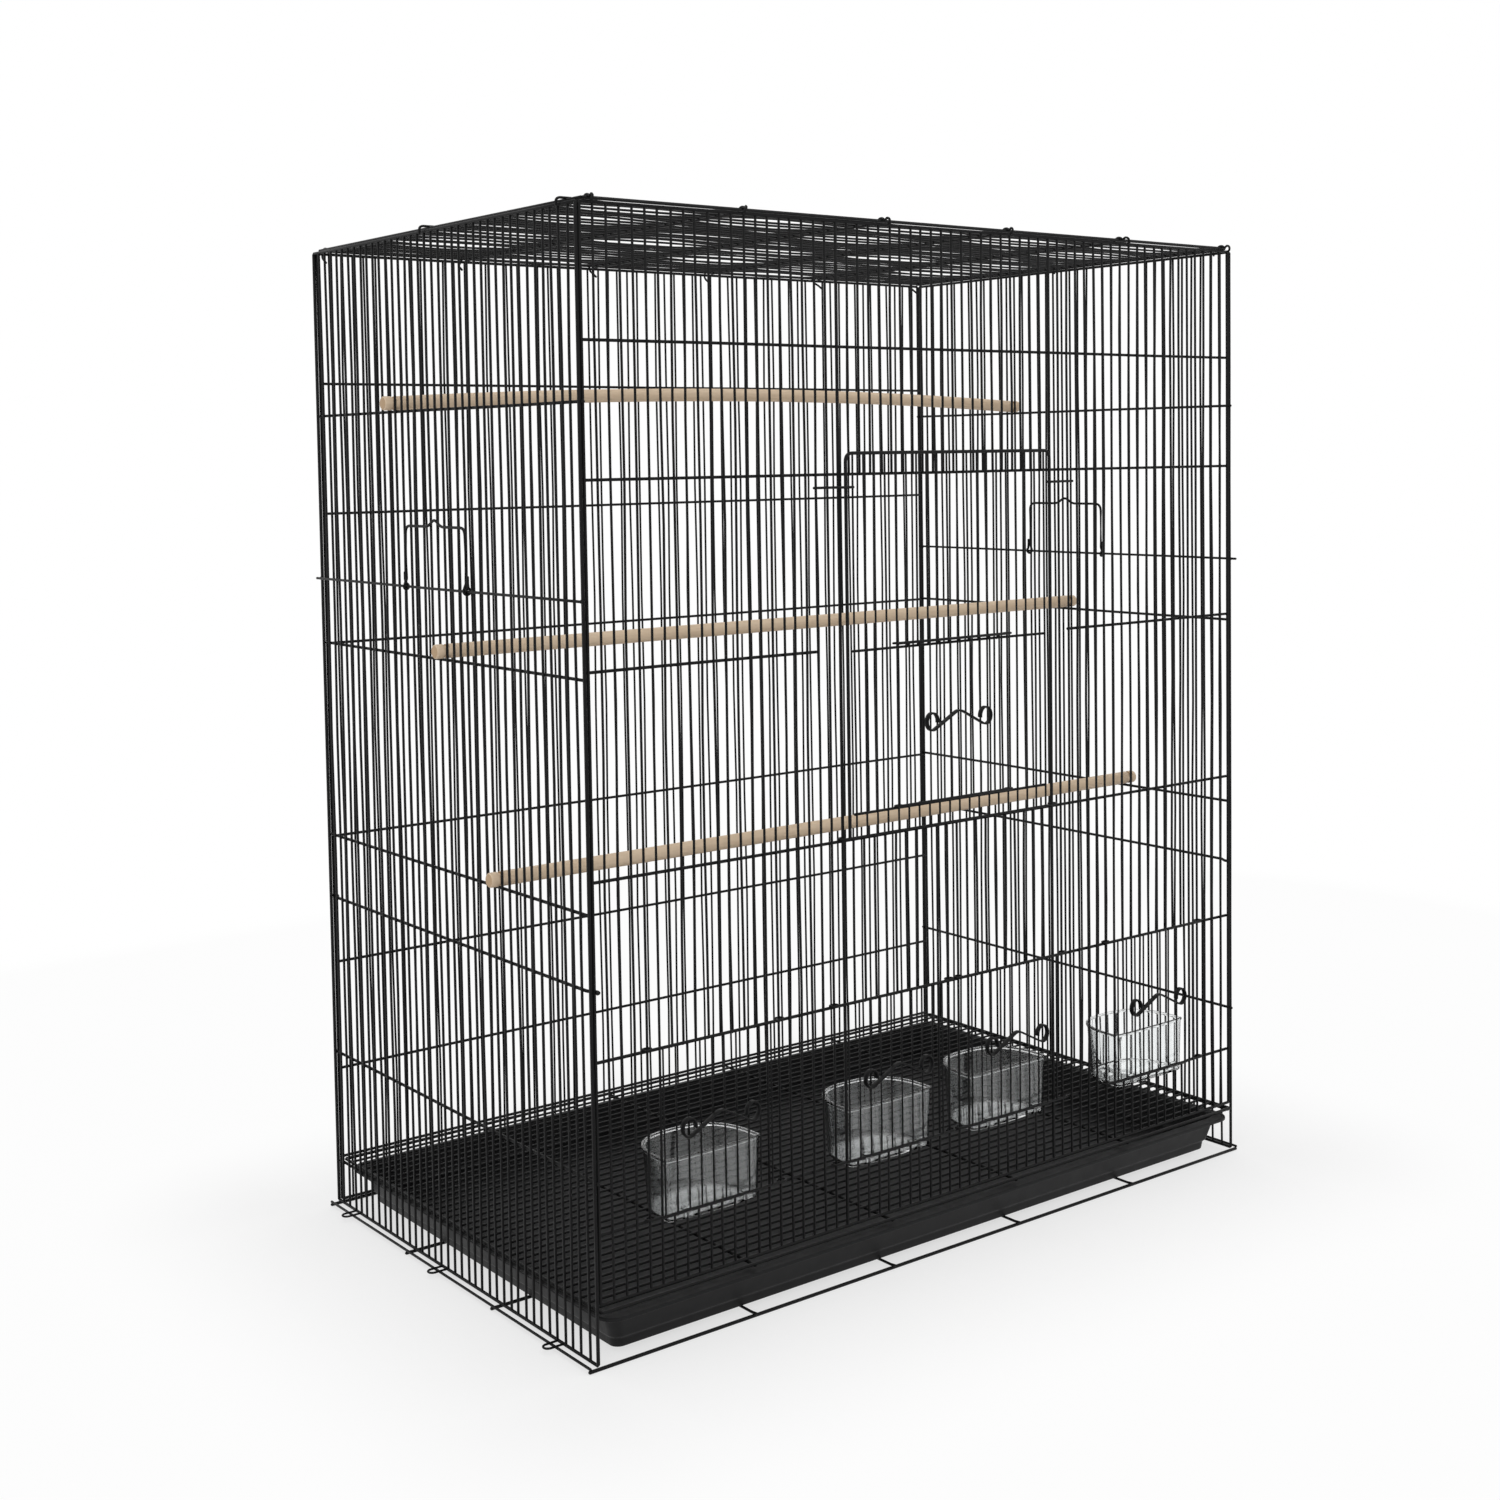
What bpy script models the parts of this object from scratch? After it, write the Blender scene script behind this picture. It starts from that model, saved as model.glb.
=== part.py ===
"""Wire flight cage that knocks down into flat welded panels.

+X is the cage's width seen from the front, the front faces -Y and +Z is up.
The origin is on the floor, under the middle of the whole object.
"""
import math

import bmesh
import bpy
from mathutils import Matrix, Vector

# Overall sizes, in metres
WIDTH = 0.762
DEPTH = 0.457
HEIGHT = 0.914
GAP = 0.0003

# Wire sizes
THIN = 0.0021
BAR = 0.0022
RAIL = 0.0026
EDGE = 0.0030
DOOR_RAIL = 0.0020
DOOR_WIRE = 0.0018
EYE_WIRE = 0.0016
WELD_SIZE = 0.0016
WELD_DEPTH = 0.0008

# Wire counts: gaps between upright wires
FRONT_GAPS = 63
SIDE_GAPS = 38
GUIDE_INDEX = 21

# Heights of the front panel's cross wires
FRONT_FOOT_Z = 0.0520
SILL_Z = 0.1066
FEEDER_TOP_Z = 0.2433
BAND_TOP_Z = 0.3845
FRONT_SHORT_Z = 0.5480
DOORWAY_TOP_Z = 0.6960
FRONT_HIGH_Z = 0.8031

# Heights of the end and back panels' cross wires
LOWEST_CROSS_Z = 0.1490
HOOKED_CROSS_Z = 0.2993
LOW_PERCH_WIRE_Z = 0.3592
MIDDLE_PERCH_WIRE_Z = 0.5423
HIGH_PERCH_WIRE_Z = 0.7558
HANDLE_WIRE_Z = 0.6032
HANDLE_WIRE_REACH = 0.0060
RUNNER_Z = 0.0434
BACK_CROSS_Z = (0.047, 0.1330, 0.2362, 0.3572, 0.5413, 0.6640, 0.7862)

# Roof hooks
ROOF_CROSS_WIRES = 6
HOOK_REACH = 0.0022
HOOK_DROP = 0.0058
# Inwards of a top rail, where a roof cross wire starts and ends its way down to the wires' underside.
DIP_START = 0.0030
DIP_END = 0.0070

# Base grid and slide-out floor
BASE_LONG_WIRES = 4
BASE_CROSS_WIRES = 6
BASE_CROSS = 0.0024
BASE_END_REACH = 0.0076
BASE_LOOP_WIRE = 0.0019
BASE_LOOP_REACH = 0.0090
BASE_LOOP_HALF = 0.0042
BASE_LOOP_STEPS = 4
BASE_LOOP_PLACES = (0.11, 0.53, 0.90)
BASE_NOSE = 0.0035
GRILLE_PITCH = 0.0120
GRILLE_CROSS_WIRES = 4
GRILLE_SIDE_CLEARANCE = 0.0006
GRILLE_BACK_CLEARANCE = 0.0040
GRILLE_NOSE = 0.0020

# Litter tray
TRAY_HEIGHT = 0.0338
TRAY_WALL = 0.0020
TRAY_FLANGE = 0.0090
TRAY_FLANGE_DROP = 0.0030
TRAY_TAPER = 0.0065
TRAY_STEP_Z = 0.0110
TRAY_STEP = 0.0025
TRAY_CORNER = 0.0160
TRAY_CORNER_STEPS = 3
TRAY_SIDE_CLEARANCE = 0.0040
TRAY_BACK_CLEARANCE = 0.0060
TRAY_NOSE = 0.0060

# Feeder doors, each hung on one wire outside either jamb
FEEDER_JAMBS = ((5, 14), (21, 30), (33, 42), (49, 58))
EYE_TIP = 0.0048
EYE_SHOULDER = 0.0026

# Main door
MAIN_LEG_INSET = 0.0044
MAIN_TOP_Z = 0.7138
MAIN_CORNER = 0.0060
MAIN_CORNER_STEPS = 2
MAIN_EYE_TIP = 0.0058
WINDOW_LOW_Z = 0.4065
WINDOW_HIGH_Z = 0.5462
WINDOW_FIRST_WIRE = 26
KEEPER_Z = 0.6852
KEEPER_FOOT = 0.0240
KEEPER_NOSE = 0.0110
KEEPER_WIRE = 0.0020

# Inner door
INNER_HIGH_Z = 0.5515

# Scroll-shaped finger pulls
SCROLL_WIDTH = 0.0780
SCROLL_HEIGHT = 0.0170
SCROLL_STRIP = 0.0050
SCROLL_THICK = 0.0012
SCROLL_CURL = 0.0064
SCROLL_OVAL = 1.2
SCROLL_PEAK = 0.0045
SCROLL_TURN_START = math.radians(190)
SCROLL_TURN = math.radians(308)
SCROLL_TURN_STEPS = 8

# Feeding cups
CUP_WIDTH = 0.0980
CUP_DEPTH = 0.0640
CUP_HEIGHT = 0.0520
CUP_FLOOR_Z = 0.0986
CUP_WALL = 0.0018
CUP_RIM = 0.0018
CUP_RIM_HEIGHT = 0.0025
CUP_TAPER = 0.90
CUP_ROUND = 2.7
CUP_STEPS = 10
CUP_TAB = 0.0012
CUP_TAB_WIDTH = 0.0090
CUP_TAB_SPREAD = 0.0300
CUP_TAB_DROP = 0.0060

# Perches
PERCH_RADIUS = 0.00625
PERCH_HEAD = 0.0080
PERCH_SIDES = 8
PERCH_BOW = 0.0100
PERCH_GAPS = (25.5, 18.5, 11.5)

# Carrying handles
HANDLE_RADIUS = 0.00125
HANDLE_HALF_GAPS = 4.5
HANDLE_RISE = 0.0530
HANDLE_PEAK = 0.0070
HANDLE_PEAK_WIDTH = 0.0110
HANDLE_CORNER = 0.0140
HANDLE_CORNER_STEPS = 2
HANDLE_TAIL = 0.0130
HANDLE_NECK = 0.0065
HANDLE_TURN_START = math.radians(80)
HANDLE_TURN = math.radians(280)
HANDLE_TURN_STEPS = 4
HANDLE_SIDES = 5

# Places worked out from the sizes above
CROSS_OFFSET = THIN / 2 + GAP + BAR / 2
HANDLE_OFFSET = EDGE / 2 + GAP + BAR / 2
FRONT_HALF = WIDTH / 2 - EDGE / 2 - GAP - EDGE / 2
FRONT_PITCH = 2 * FRONT_HALF / FRONT_GAPS
SIDE_PITCH = DEPTH / SIDE_GAPS
PANEL_TOP = HEIGHT - BAR / 2 - CROSS_OFFSET - EDGE / 2 - GAP
TOP_RAIL_Z = PANEL_TOP - RAIL / 2
PANEL_FOOT_Z = EDGE + GAP + RAIL / 2
FEEDER_BACK = RAIL / 2 + GAP + CUP_TAB + GAP
FEEDER_Y = -(FEEDER_BACK + DOOR_RAIL / 2)
FEEDER_LOW_Z = SILL_Z + RAIL / 2 + GAP + EYE_WIRE / 2
FEEDER_HIGH_Z = FEEDER_TOP_Z + RAIL / 2 + GAP + EYE_WIRE / 2
MAIN_Y = -(RAIL / 2 + GAP + EYE_WIRE + GAP + DOOR_WIRE / 2)
MAIN_LOW_Z = BAND_TOP_Z + RAIL / 2 + GAP + DOOR_RAIL / 2
MAIN_HALF = FRONT_HALF - GUIDE_INDEX * FRONT_PITCH - MAIN_LEG_INSET
INNER_Y = MAIN_Y - EDGE / 2 - GAP - DOOR_RAIL / 2
KEEPER_Y = MAIN_Y - EDGE / 2 - 2 * GAP - KEEPER_WIRE / 2
INNER_LOW_Z = WINDOW_LOW_Z + DOOR_RAIL / 2 + GAP + EYE_WIRE / 2
FRONT_REACH = -INNER_Y + EYE_WIRE / 2 + GAP + SCROLL_STRIP
BACK_REACH = max(HANDLE_WIRE_REACH, EDGE / 2 + HOOK_REACH + BAR / 2)
CENTRING = (FRONT_REACH - BACK_REACH) / 2
FRONT_Y = -DEPTH / 2 + CENTRING
BACK_Y = DEPTH / 2 + CENTRING


def clear_scene():
    for item in list(bpy.data.objects):
        bpy.data.objects.remove(item, do_unlink=True)


def make_material(name, colour, roughness, metallic=0.0, alpha=1.0):
    material = bpy.data.materials.new(name)
    material.use_nodes = True
    shader = material.node_tree.nodes["Principled BSDF"]
    shader.inputs["Base Color"].default_value = (*colour, 1.0)
    shader.inputs["Roughness"].default_value = roughness
    shader.inputs["Metallic"].default_value = metallic
    shader.inputs["Alpha"].default_value = alpha
    return material


def mesh_from(shape, name):
    bmesh.ops.recalc_face_normals(shape, faces=shape.faces)
    mesh = bpy.data.meshes.new(name)
    shape.to_mesh(mesh)
    shape.free()
    return mesh


def link(name, mesh, material, parent=None):
    item = bpy.data.objects.new(name, mesh)
    bpy.context.scene.collection.objects.link(item)
    mesh.materials.clear()
    mesh.materials.append(material)
    item.parent = parent
    return item


def weld(name, layers, material, parent=None):
    """Join layers of wires into one solid. Wires within a layer stay clear of each other."""
    base = link(name, mesh_from(layers[0], name), material)
    tools = []
    for number, layer in enumerate(layers[1:]):
        tool = link(f"{name}_layer_{number}", mesh_from(layer, name), material)
        tools.append(tool)
        union = base.modifiers.new("union", "BOOLEAN")
        union.operation = "UNION"
        union.solver = "EXACT"
        union.object = tool
    graph = bpy.context.evaluated_depsgraph_get()
    welded = bpy.data.meshes.new_from_object(base.evaluated_get(graph))
    welded.name = name
    for item in (base, *tools):
        bpy.data.objects.remove(item, do_unlink=True)
    return link(name, welded, material, parent)


def empty(name, location, rotation=(0.0, 0.0, 0.0), parent=None):
    item = bpy.data.objects.new(name, None)
    bpy.context.scene.collection.objects.link(item)
    item.location = location
    item.rotation_euler = rotation
    item.parent = parent
    return item


def add_box(shape, low, high):
    middle = [(a + b) / 2 for a, b in zip(low, high)]
    size = [b - a for a, b in zip(low, high)]
    place = Matrix.Translation(middle) @ Matrix.Diagonal((*size, 1.0))
    bmesh.ops.create_cube(shape, size=1.0, matrix=place)


def add_upright(shape, x, low, high, size, y=0.0):
    half = size / 2
    add_box(shape, (x - half, y - half, low), (x + half, y + half, high))


def add_rail(shape, z, low, high, size, y=0.0):
    half = size / 2
    add_box(shape, (low, y - half, z - half), (high, y + half, z + half))


def skin(shape, rings, closed=False):
    """Join rings of corners into one skin, capped at both ends unless it is closed."""
    loops = [[shape.verts.new(corner) for corner in ring] for ring in rings]
    pairs = list(zip(loops, loops[1:]))
    if closed:
        pairs.append((loops[-1], loops[0]))
    for first, second in pairs:
        count = len(first)
        for i in range(count):
            j = (i + 1) % count
            shape.faces.new((first[i], first[j], second[j], second[i]))
    if not closed:
        shape.faces.new(loops[0][::-1])
        shape.faces.new(loops[-1])


def add_strip(shape, points, half_side, half_flat, flat, closed=False):
    """Carry a flat-sided section along points in one plane; flat is that plane's normal."""
    points = [Vector(point) for point in points]
    flat = Vector(flat)
    count = len(points)
    rings = []
    for i, point in enumerate(points):
        before = points[i - 1] if i or closed else None
        after = points[(i + 1) % count] if i < count - 1 or closed else None
        ways = []
        if before is not None:
            ways.append((point - before).normalized())
        if after is not None:
            ways.append((after - point).normalized())
        along = sum(ways, Vector()).normalized()
        side = along.cross(flat)
        mitre = 1.0 / max(along.dot(ways[0]), 0.4)
        across = side * half_side * mitre
        rise = flat * half_flat
        low, high = point - rise, point + rise
        rings.append((low - across, low + across, high + across, high - across))
    skin(shape, rings, closed)


def add_tube(shape, points, radii, sides):
    """A round wire along points in space, turned as little as the bends allow."""
    points = [Vector(point) for point in points]
    last = len(points) - 1
    normal = None
    rings = []
    for i, point in enumerate(points):
        along = (points[min(i + 1, last)] - points[max(i - 1, 0)]).normalized()
        if normal is None:
            normal = along.orthogonal().normalized()
        normal = (normal - along * normal.dot(along)).normalized()
        other = along.cross(normal)
        ring = []
        for k in range(sides):
            turn = 2 * math.pi * k / sides
            ring.append(point + (normal * math.cos(turn) + other * math.sin(turn)) * radii[i])
        rings.append(ring)
    skin(shape, rings)


def lattice(name, uprights, rails, bars, welds, material, parent, extras=()):
    """One flat welded grille.

    uprights are (x, size, low, high); rails are (z, size, low, high) in the uprights' plane; bars are
    (z, low, high, face) cross wires on the face that face gives, sunk a little into the thick uprights.
    welds are (x, z, face) where a bar is tacked to a thin upright. extras are layers of bent wires.
    """
    across = bmesh.new()
    for z, size, low, high in rails:
        add_rail(across, z, low, high, size)
    for z, low, high, face in bars:
        add_rail(across, z, low, high, BAR, face * CROSS_OFFSET)
    upright = bmesh.new()
    for x, size, low, high in uprights:
        add_upright(upright, x, low, high, size)
    layers = [across, upright, *extras]
    if welds:
        tacks = bmesh.new()
        half = WELD_SIZE / 2
        for x, z, face in welds:
            middle = face * (THIN / 2 + GAP / 2)
            low = (x - half, middle - WELD_DEPTH / 2, z - half)
            high = (x + half, middle + WELD_DEPTH / 2, z + half)
            add_box(tacks, low, high)
        layers.append(tacks)
    return weld(name, layers, material, parent)


def front_x(index):
    return -FRONT_HALF + index * FRONT_PITCH


def wire_size(index):
    thick = index in (0, GUIDE_INDEX, FRONT_GAPS - GUIDE_INDEX, FRONT_GAPS)
    return EDGE if thick else THIN


def build_front(parent, black):
    """The front panel's flat grilles, split at its cross wires round the five doorways."""
    rail = RAIL / 2
    edges = [0] + [index for jambs in FEEDER_JAMBS for index in jambs] + [FRONT_GAPS]
    post_top = FEEDER_TOP_Z - RAIL - GAP
    for number in range(len(FEEDER_JAMBS) + 1):
        first, last = edges[2 * number], edges[2 * number + 1]
        uprights = []
        for index in range(first, last + 1):
            size = wire_size(index)
            uprights.append((front_x(index), size, FRONT_FOOT_Z, post_top))
        low, high = front_x(first), front_x(last)
        rails = [(FRONT_FOOT_Z, RAIL, low - rail, high + rail), (post_top, RAIL, low - rail, high + rail)]
        bars = [(SILL_Z, low, high, 1)]
        welds = [(front_x(index), SILL_Z, 1) for index in (first, last) if wire_size(index) == THIN]
        lattice(f"front_post_{number + 1}", uprights, rails, bars, welds, black, parent)
    for number, (first, last) in enumerate(FEEDER_JAMBS):
        low = front_x(first) + wire_size(first) / 2 + GAP
        high = front_x(last) - wire_size(last) / 2 - GAP
        clear = RAIL / 2 - THIN / 2
        low, high = low + clear, high - clear
        uprights = [(front_x(i), THIN, FRONT_FOOT_Z, SILL_Z) for i in range(first + 1, last)]
        rails = [(FRONT_FOOT_Z, RAIL, low, high), (SILL_Z, RAIL, low, high)]
        lattice(f"front_sill_{number + 1}", uprights, rails, [], [], black, parent)
    cross = (BAND_TOP_Z, DOORWAY_TOP_Z, FRONT_HIGH_Z)
    for name, first, last in (
        ("front_left_grille", 0, GUIDE_INDEX),
        ("front_right_grille", FRONT_GAPS - GUIDE_INDEX, FRONT_GAPS),
    ):
        uprights = []
        for index in range(first, last + 1):
            uprights.append((front_x(index), wire_size(index), FEEDER_TOP_Z, TOP_RAIL_Z))
        low, high = front_x(first), front_x(last)
        rails = [(FEEDER_TOP_Z, RAIL, low, high), (TOP_RAIL_Z, RAIL, low, high)]
        bars = [(z, low, high, 1) for z in cross]
        if first == 0:
            short = (low, front_x(last - 2))
        else:
            short = (front_x(first + 2), high)
        bars.append((FRONT_SHORT_Z, *short, 1))
        lattice(name, uprights, rails, bars, [], black, parent)
    first, last = GUIDE_INDEX, FRONT_GAPS - GUIDE_INDEX
    low = front_x(first) + EDGE / 2 + GAP
    high = front_x(last) - EDGE / 2 - GAP
    inside = range(first + 1, last)
    ends = (front_x(first + 1), front_x(last - 1))
    uprights = [(front_x(i), THIN, FEEDER_TOP_Z, BAND_TOP_Z) for i in inside]
    rails = [(FEEDER_TOP_Z, RAIL, low, high), (BAND_TOP_Z, RAIL, low, high)]
    lattice("front_middle_grille", uprights, rails, [], [], black, parent)
    uprights = [(front_x(i), THIN, DOORWAY_TOP_Z, TOP_RAIL_Z) for i in inside]
    rails = [(DOORWAY_TOP_Z, RAIL, low, high), (TOP_RAIL_Z, RAIL, low, high)]
    bars = [(FRONT_HIGH_Z, ends[0] - THIN / 2, ends[1] + THIN / 2, 1)]
    welds = [(x, FRONT_HIGH_Z, 1) for x in ends]
    lattice("front_upper_grille", uprights, rails, bars, welds, black, parent)


def build_back(parent, black):
    uprights = []
    for index in range(FRONT_GAPS + 1):
        size = EDGE if index in (0, FRONT_GAPS) else THIN
        uprights.append((front_x(index), size, PANEL_FOOT_Z, TOP_RAIL_Z))
    low, high = -FRONT_HALF, FRONT_HALF
    rails = [(PANEL_FOOT_Z, RAIL, low, high), (TOP_RAIL_Z, RAIL, low, high)]
    bars = [(z, low, high, 1) for z in BACK_CROSS_Z]
    lattice("back_panel", uprights, rails, bars, [], black, parent)


def corner_hook(sign, z):
    """The end of a cross wire bent round the next panel's corner wire."""
    corner = DEPTH / 2
    reach = GAP * 2 + BAR / 2
    inner = WIDTH / 2 - FRONT_HALF + EDGE / 2 + reach
    path = (
        (corner - EDGE / 2 - reach - BAR * 1.5, CROSS_OFFSET),
        (corner - EDGE / 2 - reach, inner),
        (corner, inner + BAR / 4),
        (corner + EDGE / 2 + reach, inner - BAR / 2),
        (corner + EDGE / 2 + reach, EDGE / 2 + reach),
    )
    return [(sign * x, y, z) for x, y in path]


def build_side(side, parent, black):
    """An end panel, hooked round the corner wires, and the outer wire that carries its handle."""
    half = DEPTH / 2
    uprights = []
    for index in range(SIDE_GAPS + 1):
        size = EDGE if index in (0, SIDE_GAPS) else THIN
        uprights.append((-half + index * SIDE_PITCH, size, PANEL_FOOT_Z, TOP_RAIL_Z))
    rails = [(PANEL_FOOT_Z, RAIL, -half, half), (TOP_RAIL_Z, RAIL, -half, half)]
    inset = half - SIDE_PITCH
    bars = []
    welds = []
    for z in (RUNNER_Z, LOWEST_CROSS_Z, LOW_PERCH_WIRE_Z, MIDDLE_PERCH_WIRE_Z, HIGH_PERCH_WIRE_Z):
        bars.append((z, -inset - THIN / 2, inset + THIN / 2, 1))
        welds += [(-inset, z, 1), (inset, z, 1)]
    welds += [(-inset, HOOKED_CROSS_Z, 1), (inset, HOOKED_CROSS_Z, 1)]
    hooked = bmesh.new()
    path = corner_hook(-1, HOOKED_CROSS_Z)[::-1] + corner_hook(1, HOOKED_CROSS_Z)
    add_strip(hooked, path, BAR / 2, BAR / 2, (0, 0, 1))
    lattice(f"{side}_side_panel", uprights, rails, bars, welds, black, parent, [hooked])
    reach = half + HANDLE_WIRE_REACH
    shape = bmesh.new()
    add_rail(shape, 0.0, -reach, reach, BAR)
    wire = link(f"handle_wire_{side}", mesh_from(shape, "handle_wire"), black, parent)
    wire.location = (0.0, -HANDLE_OFFSET, HANDLE_WIRE_Z)


def roof_hook(half, sign, across):
    """A wire end that rises from under the roof's wires and bends over a top rail, in the roof's axes."""
    outside = half + EDGE / 2 + HOOK_REACH
    path = (
        (half - DIP_END, -CROSS_OFFSET),
        (half - DIP_START, CROSS_OFFSET),
        (half + EDGE / 2, CROSS_OFFSET),
        (outside, CROSS_OFFSET - HOOK_DROP * 0.35),
        (outside, CROSS_OFFSET - HOOK_DROP),
    )
    return [(sign * x, y, across) for x, y in path]


def build_roof(parent, black):
    """Lengthwise wires on hooked cross wires. The roof's x is the cage's depth and z its width."""
    half_depth = DEPTH / 2
    end = FRONT_HALF - RAIL
    uprights = []
    for index in range(SIDE_GAPS + 1):
        size = EDGE if index in (0, SIDE_GAPS) else THIN
        uprights.append((-half_depth + index * SIDE_PITCH, size, -end, end))
    rails = [(-end, RAIL, -half_depth, half_depth), (end, RAIL, -half_depth, half_depth)]
    cross = bmesh.new()
    for number in range(ROOF_CROSS_WIRES):
        across = (end - 2 * RAIL) * (-1 + 2 * number / (ROOF_CROSS_WIRES - 1))
        path = roof_hook(half_depth, -1, across)[::-1] + roof_hook(half_depth, 1, across)
        add_strip(cross, path, BAR / 2, BAR / 2, (0, 0, 1))
    return lattice("top_panel", uprights, rails, [], [], black, parent, [cross])


def base_loop(way, middle):
    """A hairpin from an end panel's foot out over the base's end wire, which lies at x = 0."""
    root = EDGE / 2 + GAP - BASE_END_REACH
    centre = BASE_LOOP_REACH - BASE_LOOP_HALF
    path = [(way * root, middle - BASE_LOOP_HALF, 0.0)]
    for step in range(BASE_LOOP_STEPS + 1):
        turn = math.pi * (step / BASE_LOOP_STEPS - 0.5)
        x = way * (centre + BASE_LOOP_HALF * math.cos(turn))
        path.append((x, middle + BASE_LOOP_HALF * math.sin(turn), 0.0))
    path.append((way * root, middle + BASE_LOOP_HALF, 0.0))
    return path


def build_base(black):
    """Long wires on the floor that the panels stand on, and cross wires over them, the outer two looped."""
    end = WIDTH / 2 + BASE_END_REACH
    long_half = end + BASE_CROSS / 2
    for number in range(BASE_LONG_WIRES):
        shape = bmesh.new()
        add_rail(shape, 0.0, -long_half, long_half, EDGE)
        item = link(f"base_long_wire_{number + 1}", mesh_from(shape, "long_wire"), black)
        item.location = (0.0, FRONT_Y + DEPTH * number / (BASE_LONG_WIRES - 1), EDGE / 2)
    half = BASE_CROSS / 2
    for number in range(BASE_CROSS_WIRES):
        side = 2 * number / (BASE_CROSS_WIRES - 1) - 1
        outer = abs(side) == 1
        front = FRONT_Y - EDGE / 2 - (0.0 if outer else BASE_NOSE)
        back = BACK_Y + EDGE / 2 if outer else BACK_Y - RAIL / 2 - GAP
        straight = bmesh.new()
        add_box(straight, (-half, front, -half), (half, back, half))
        layers = [straight]
        if outer:
            loops = bmesh.new()
            for place in BASE_LOOP_PLACES:
                middle = FRONT_Y + (round(place * SIDE_GAPS) + 0.5) * SIDE_PITCH
                path = base_loop(side, middle)
                add_strip(loops, path, BASE_LOOP_WIRE / 2, BASE_LOOP_WIRE / 2, (0, 0, 1))
            layers.append(loops)
        item = weld(f"base_cross_wire_{number + 1}", layers, black)
        item.location = (side * (end if outer else WIDTH / 2), 0.0, EDGE + GAP + half)


def build_grille(parent, black):
    """The slide-out wire floor: lengthwise wires over a few cross wires, on the end panels' runners."""
    half_width = WIDTH / 2 - EDGE / 2 - GRILLE_SIDE_CLEARANCE
    front = -DEPTH / 2 - GRILLE_NOSE
    back = DEPTH / 2 - EDGE / 2 - CROSS_OFFSET - BAR / 2 - GRILLE_BACK_CLEARANCE
    count = round((back - front) / GRILLE_PITCH)
    pitch = (back - front) / count
    rail = half_width - RAIL / 2
    uprights = []
    for index in range(count + 1):
        size = EDGE if index in (0, count) else THIN
        uprights.append((front + index * pitch, size, -rail, rail))
    rails = [(-rail, RAIL, front, back), (rail, RAIL, front, back)]
    bars = []
    for number in range(1, GRILLE_CROSS_WIRES + 1):
        across = rail * (-1 + 2 * number / (GRILLE_CROSS_WIRES + 1))
        bars.append((across, front, back, 1))
    return lattice("floor_grille", uprights, rails, bars, [], black, parent)


def rounded_rectangle(left, right, front, back, radius, steps):
    corners = (
        (right - radius, back - radius, 0.0),
        (left + radius, back - radius, 0.5),
        (left + radius, front + radius, 1.0),
        (right - radius, front + radius, 1.5),
    )
    outline = []
    for x, y, start in corners:
        for step in range(steps + 1):
            turn = math.pi * (start + 0.5 * step / steps)
            outline.append((x + radius * math.cos(turn), y + radius * math.sin(turn)))
    return outline


def build_tray(plastic):
    """A shallow moulded pan with leaning walls, a step near its foot and a turned-down flange.

    Its floor is a plate of its own, so that the walls and the floor each collide as they are.
    """
    half = WIDTH / 2 - EDGE / 2 - TRAY_SIDE_CLEARANCE
    front = FRONT_Y - TRAY_NOSE
    back = BACK_Y - EDGE / 2 - CROSS_OFFSET - TRAY_BACK_CLEARANCE
    floor = EDGE + GAP + BASE_CROSS + GAP
    top = floor + TRAY_HEIGHT
    mouth = TRAY_FLANGE + TRAY_WALL
    foot = mouth + TRAY_TAPER + TRAY_STEP * 1.5
    outside = (
        (0.0, top - TRAY_FLANGE_DROP),
        (0.0, top),
        (mouth, top),
        (mouth + TRAY_TAPER, floor + TRAY_STEP_Z),
        (mouth + TRAY_TAPER + TRAY_STEP, floor + TRAY_STEP_Z - TRAY_WALL),
        (foot, floor + TRAY_WALL),
    )
    under = (
        (foot, floor),
        (foot - TRAY_WALL, floor),
        (TRAY_FLANGE + TRAY_TAPER + TRAY_STEP, floor + TRAY_STEP_Z - TRAY_WALL * 1.5),
        (TRAY_FLANGE + TRAY_TAPER, floor + TRAY_STEP_Z - TRAY_WALL * 0.5),
        (TRAY_FLANGE, top - TRAY_WALL),
        (TRAY_WALL, top - TRAY_WALL),
        (TRAY_WALL, top - TRAY_FLANGE_DROP),
    )
    plate = ((foot + GAP, floor), (foot + GAP, floor + TRAY_WALL))
    for name, profile, closed in (
        ("litter_tray", (*reversed(outside), *reversed(under)), True),
        ("litter_tray_floor", plate, False),
    ):
        shape = bmesh.new()
        corners = []
        for inset, z in profile:
            radius = TRAY_CORNER - inset * 0.4
            outline = rounded_rectangle(
                -half + inset, half - inset, front + inset, back - inset, radius, TRAY_CORNER_STEPS
            )
            corners.append([(x, y, z) for x, y in outline])
        skin(shape, corners, closed)
        link(name, mesh_from(shape, name), plastic)


def eye_path(wire_x, way, rail_y, wire, z):
    """A door rail's end bent round an upright wire, from the rail out and back behind the wire."""
    behind = wire / 2 + GAP + EYE_WIRE / 2
    shoulder = EYE_SHOULDER
    path = (
        (shoulder, rail_y),
        (EYE_TIP, 0.0),
        (shoulder, behind),
        (-shoulder, behind),
        (-EYE_TIP * 0.8, rail_y * 0.25),
    )
    return [(wire_x + way * x, y, z) for x, y in path]


def add_eyed_rail(shape, left, right, wire, rail_y, z):
    """A door rail with an eye round an upright wire at each end."""
    start = eye_path(left, -1, rail_y, wire, z)[::-1]
    path = start + eye_path(right, 1, rail_y, wire, z)
    add_strip(shape, path, EYE_WIRE / 2, EYE_WIRE / 2, (0, 0, 1))


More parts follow.
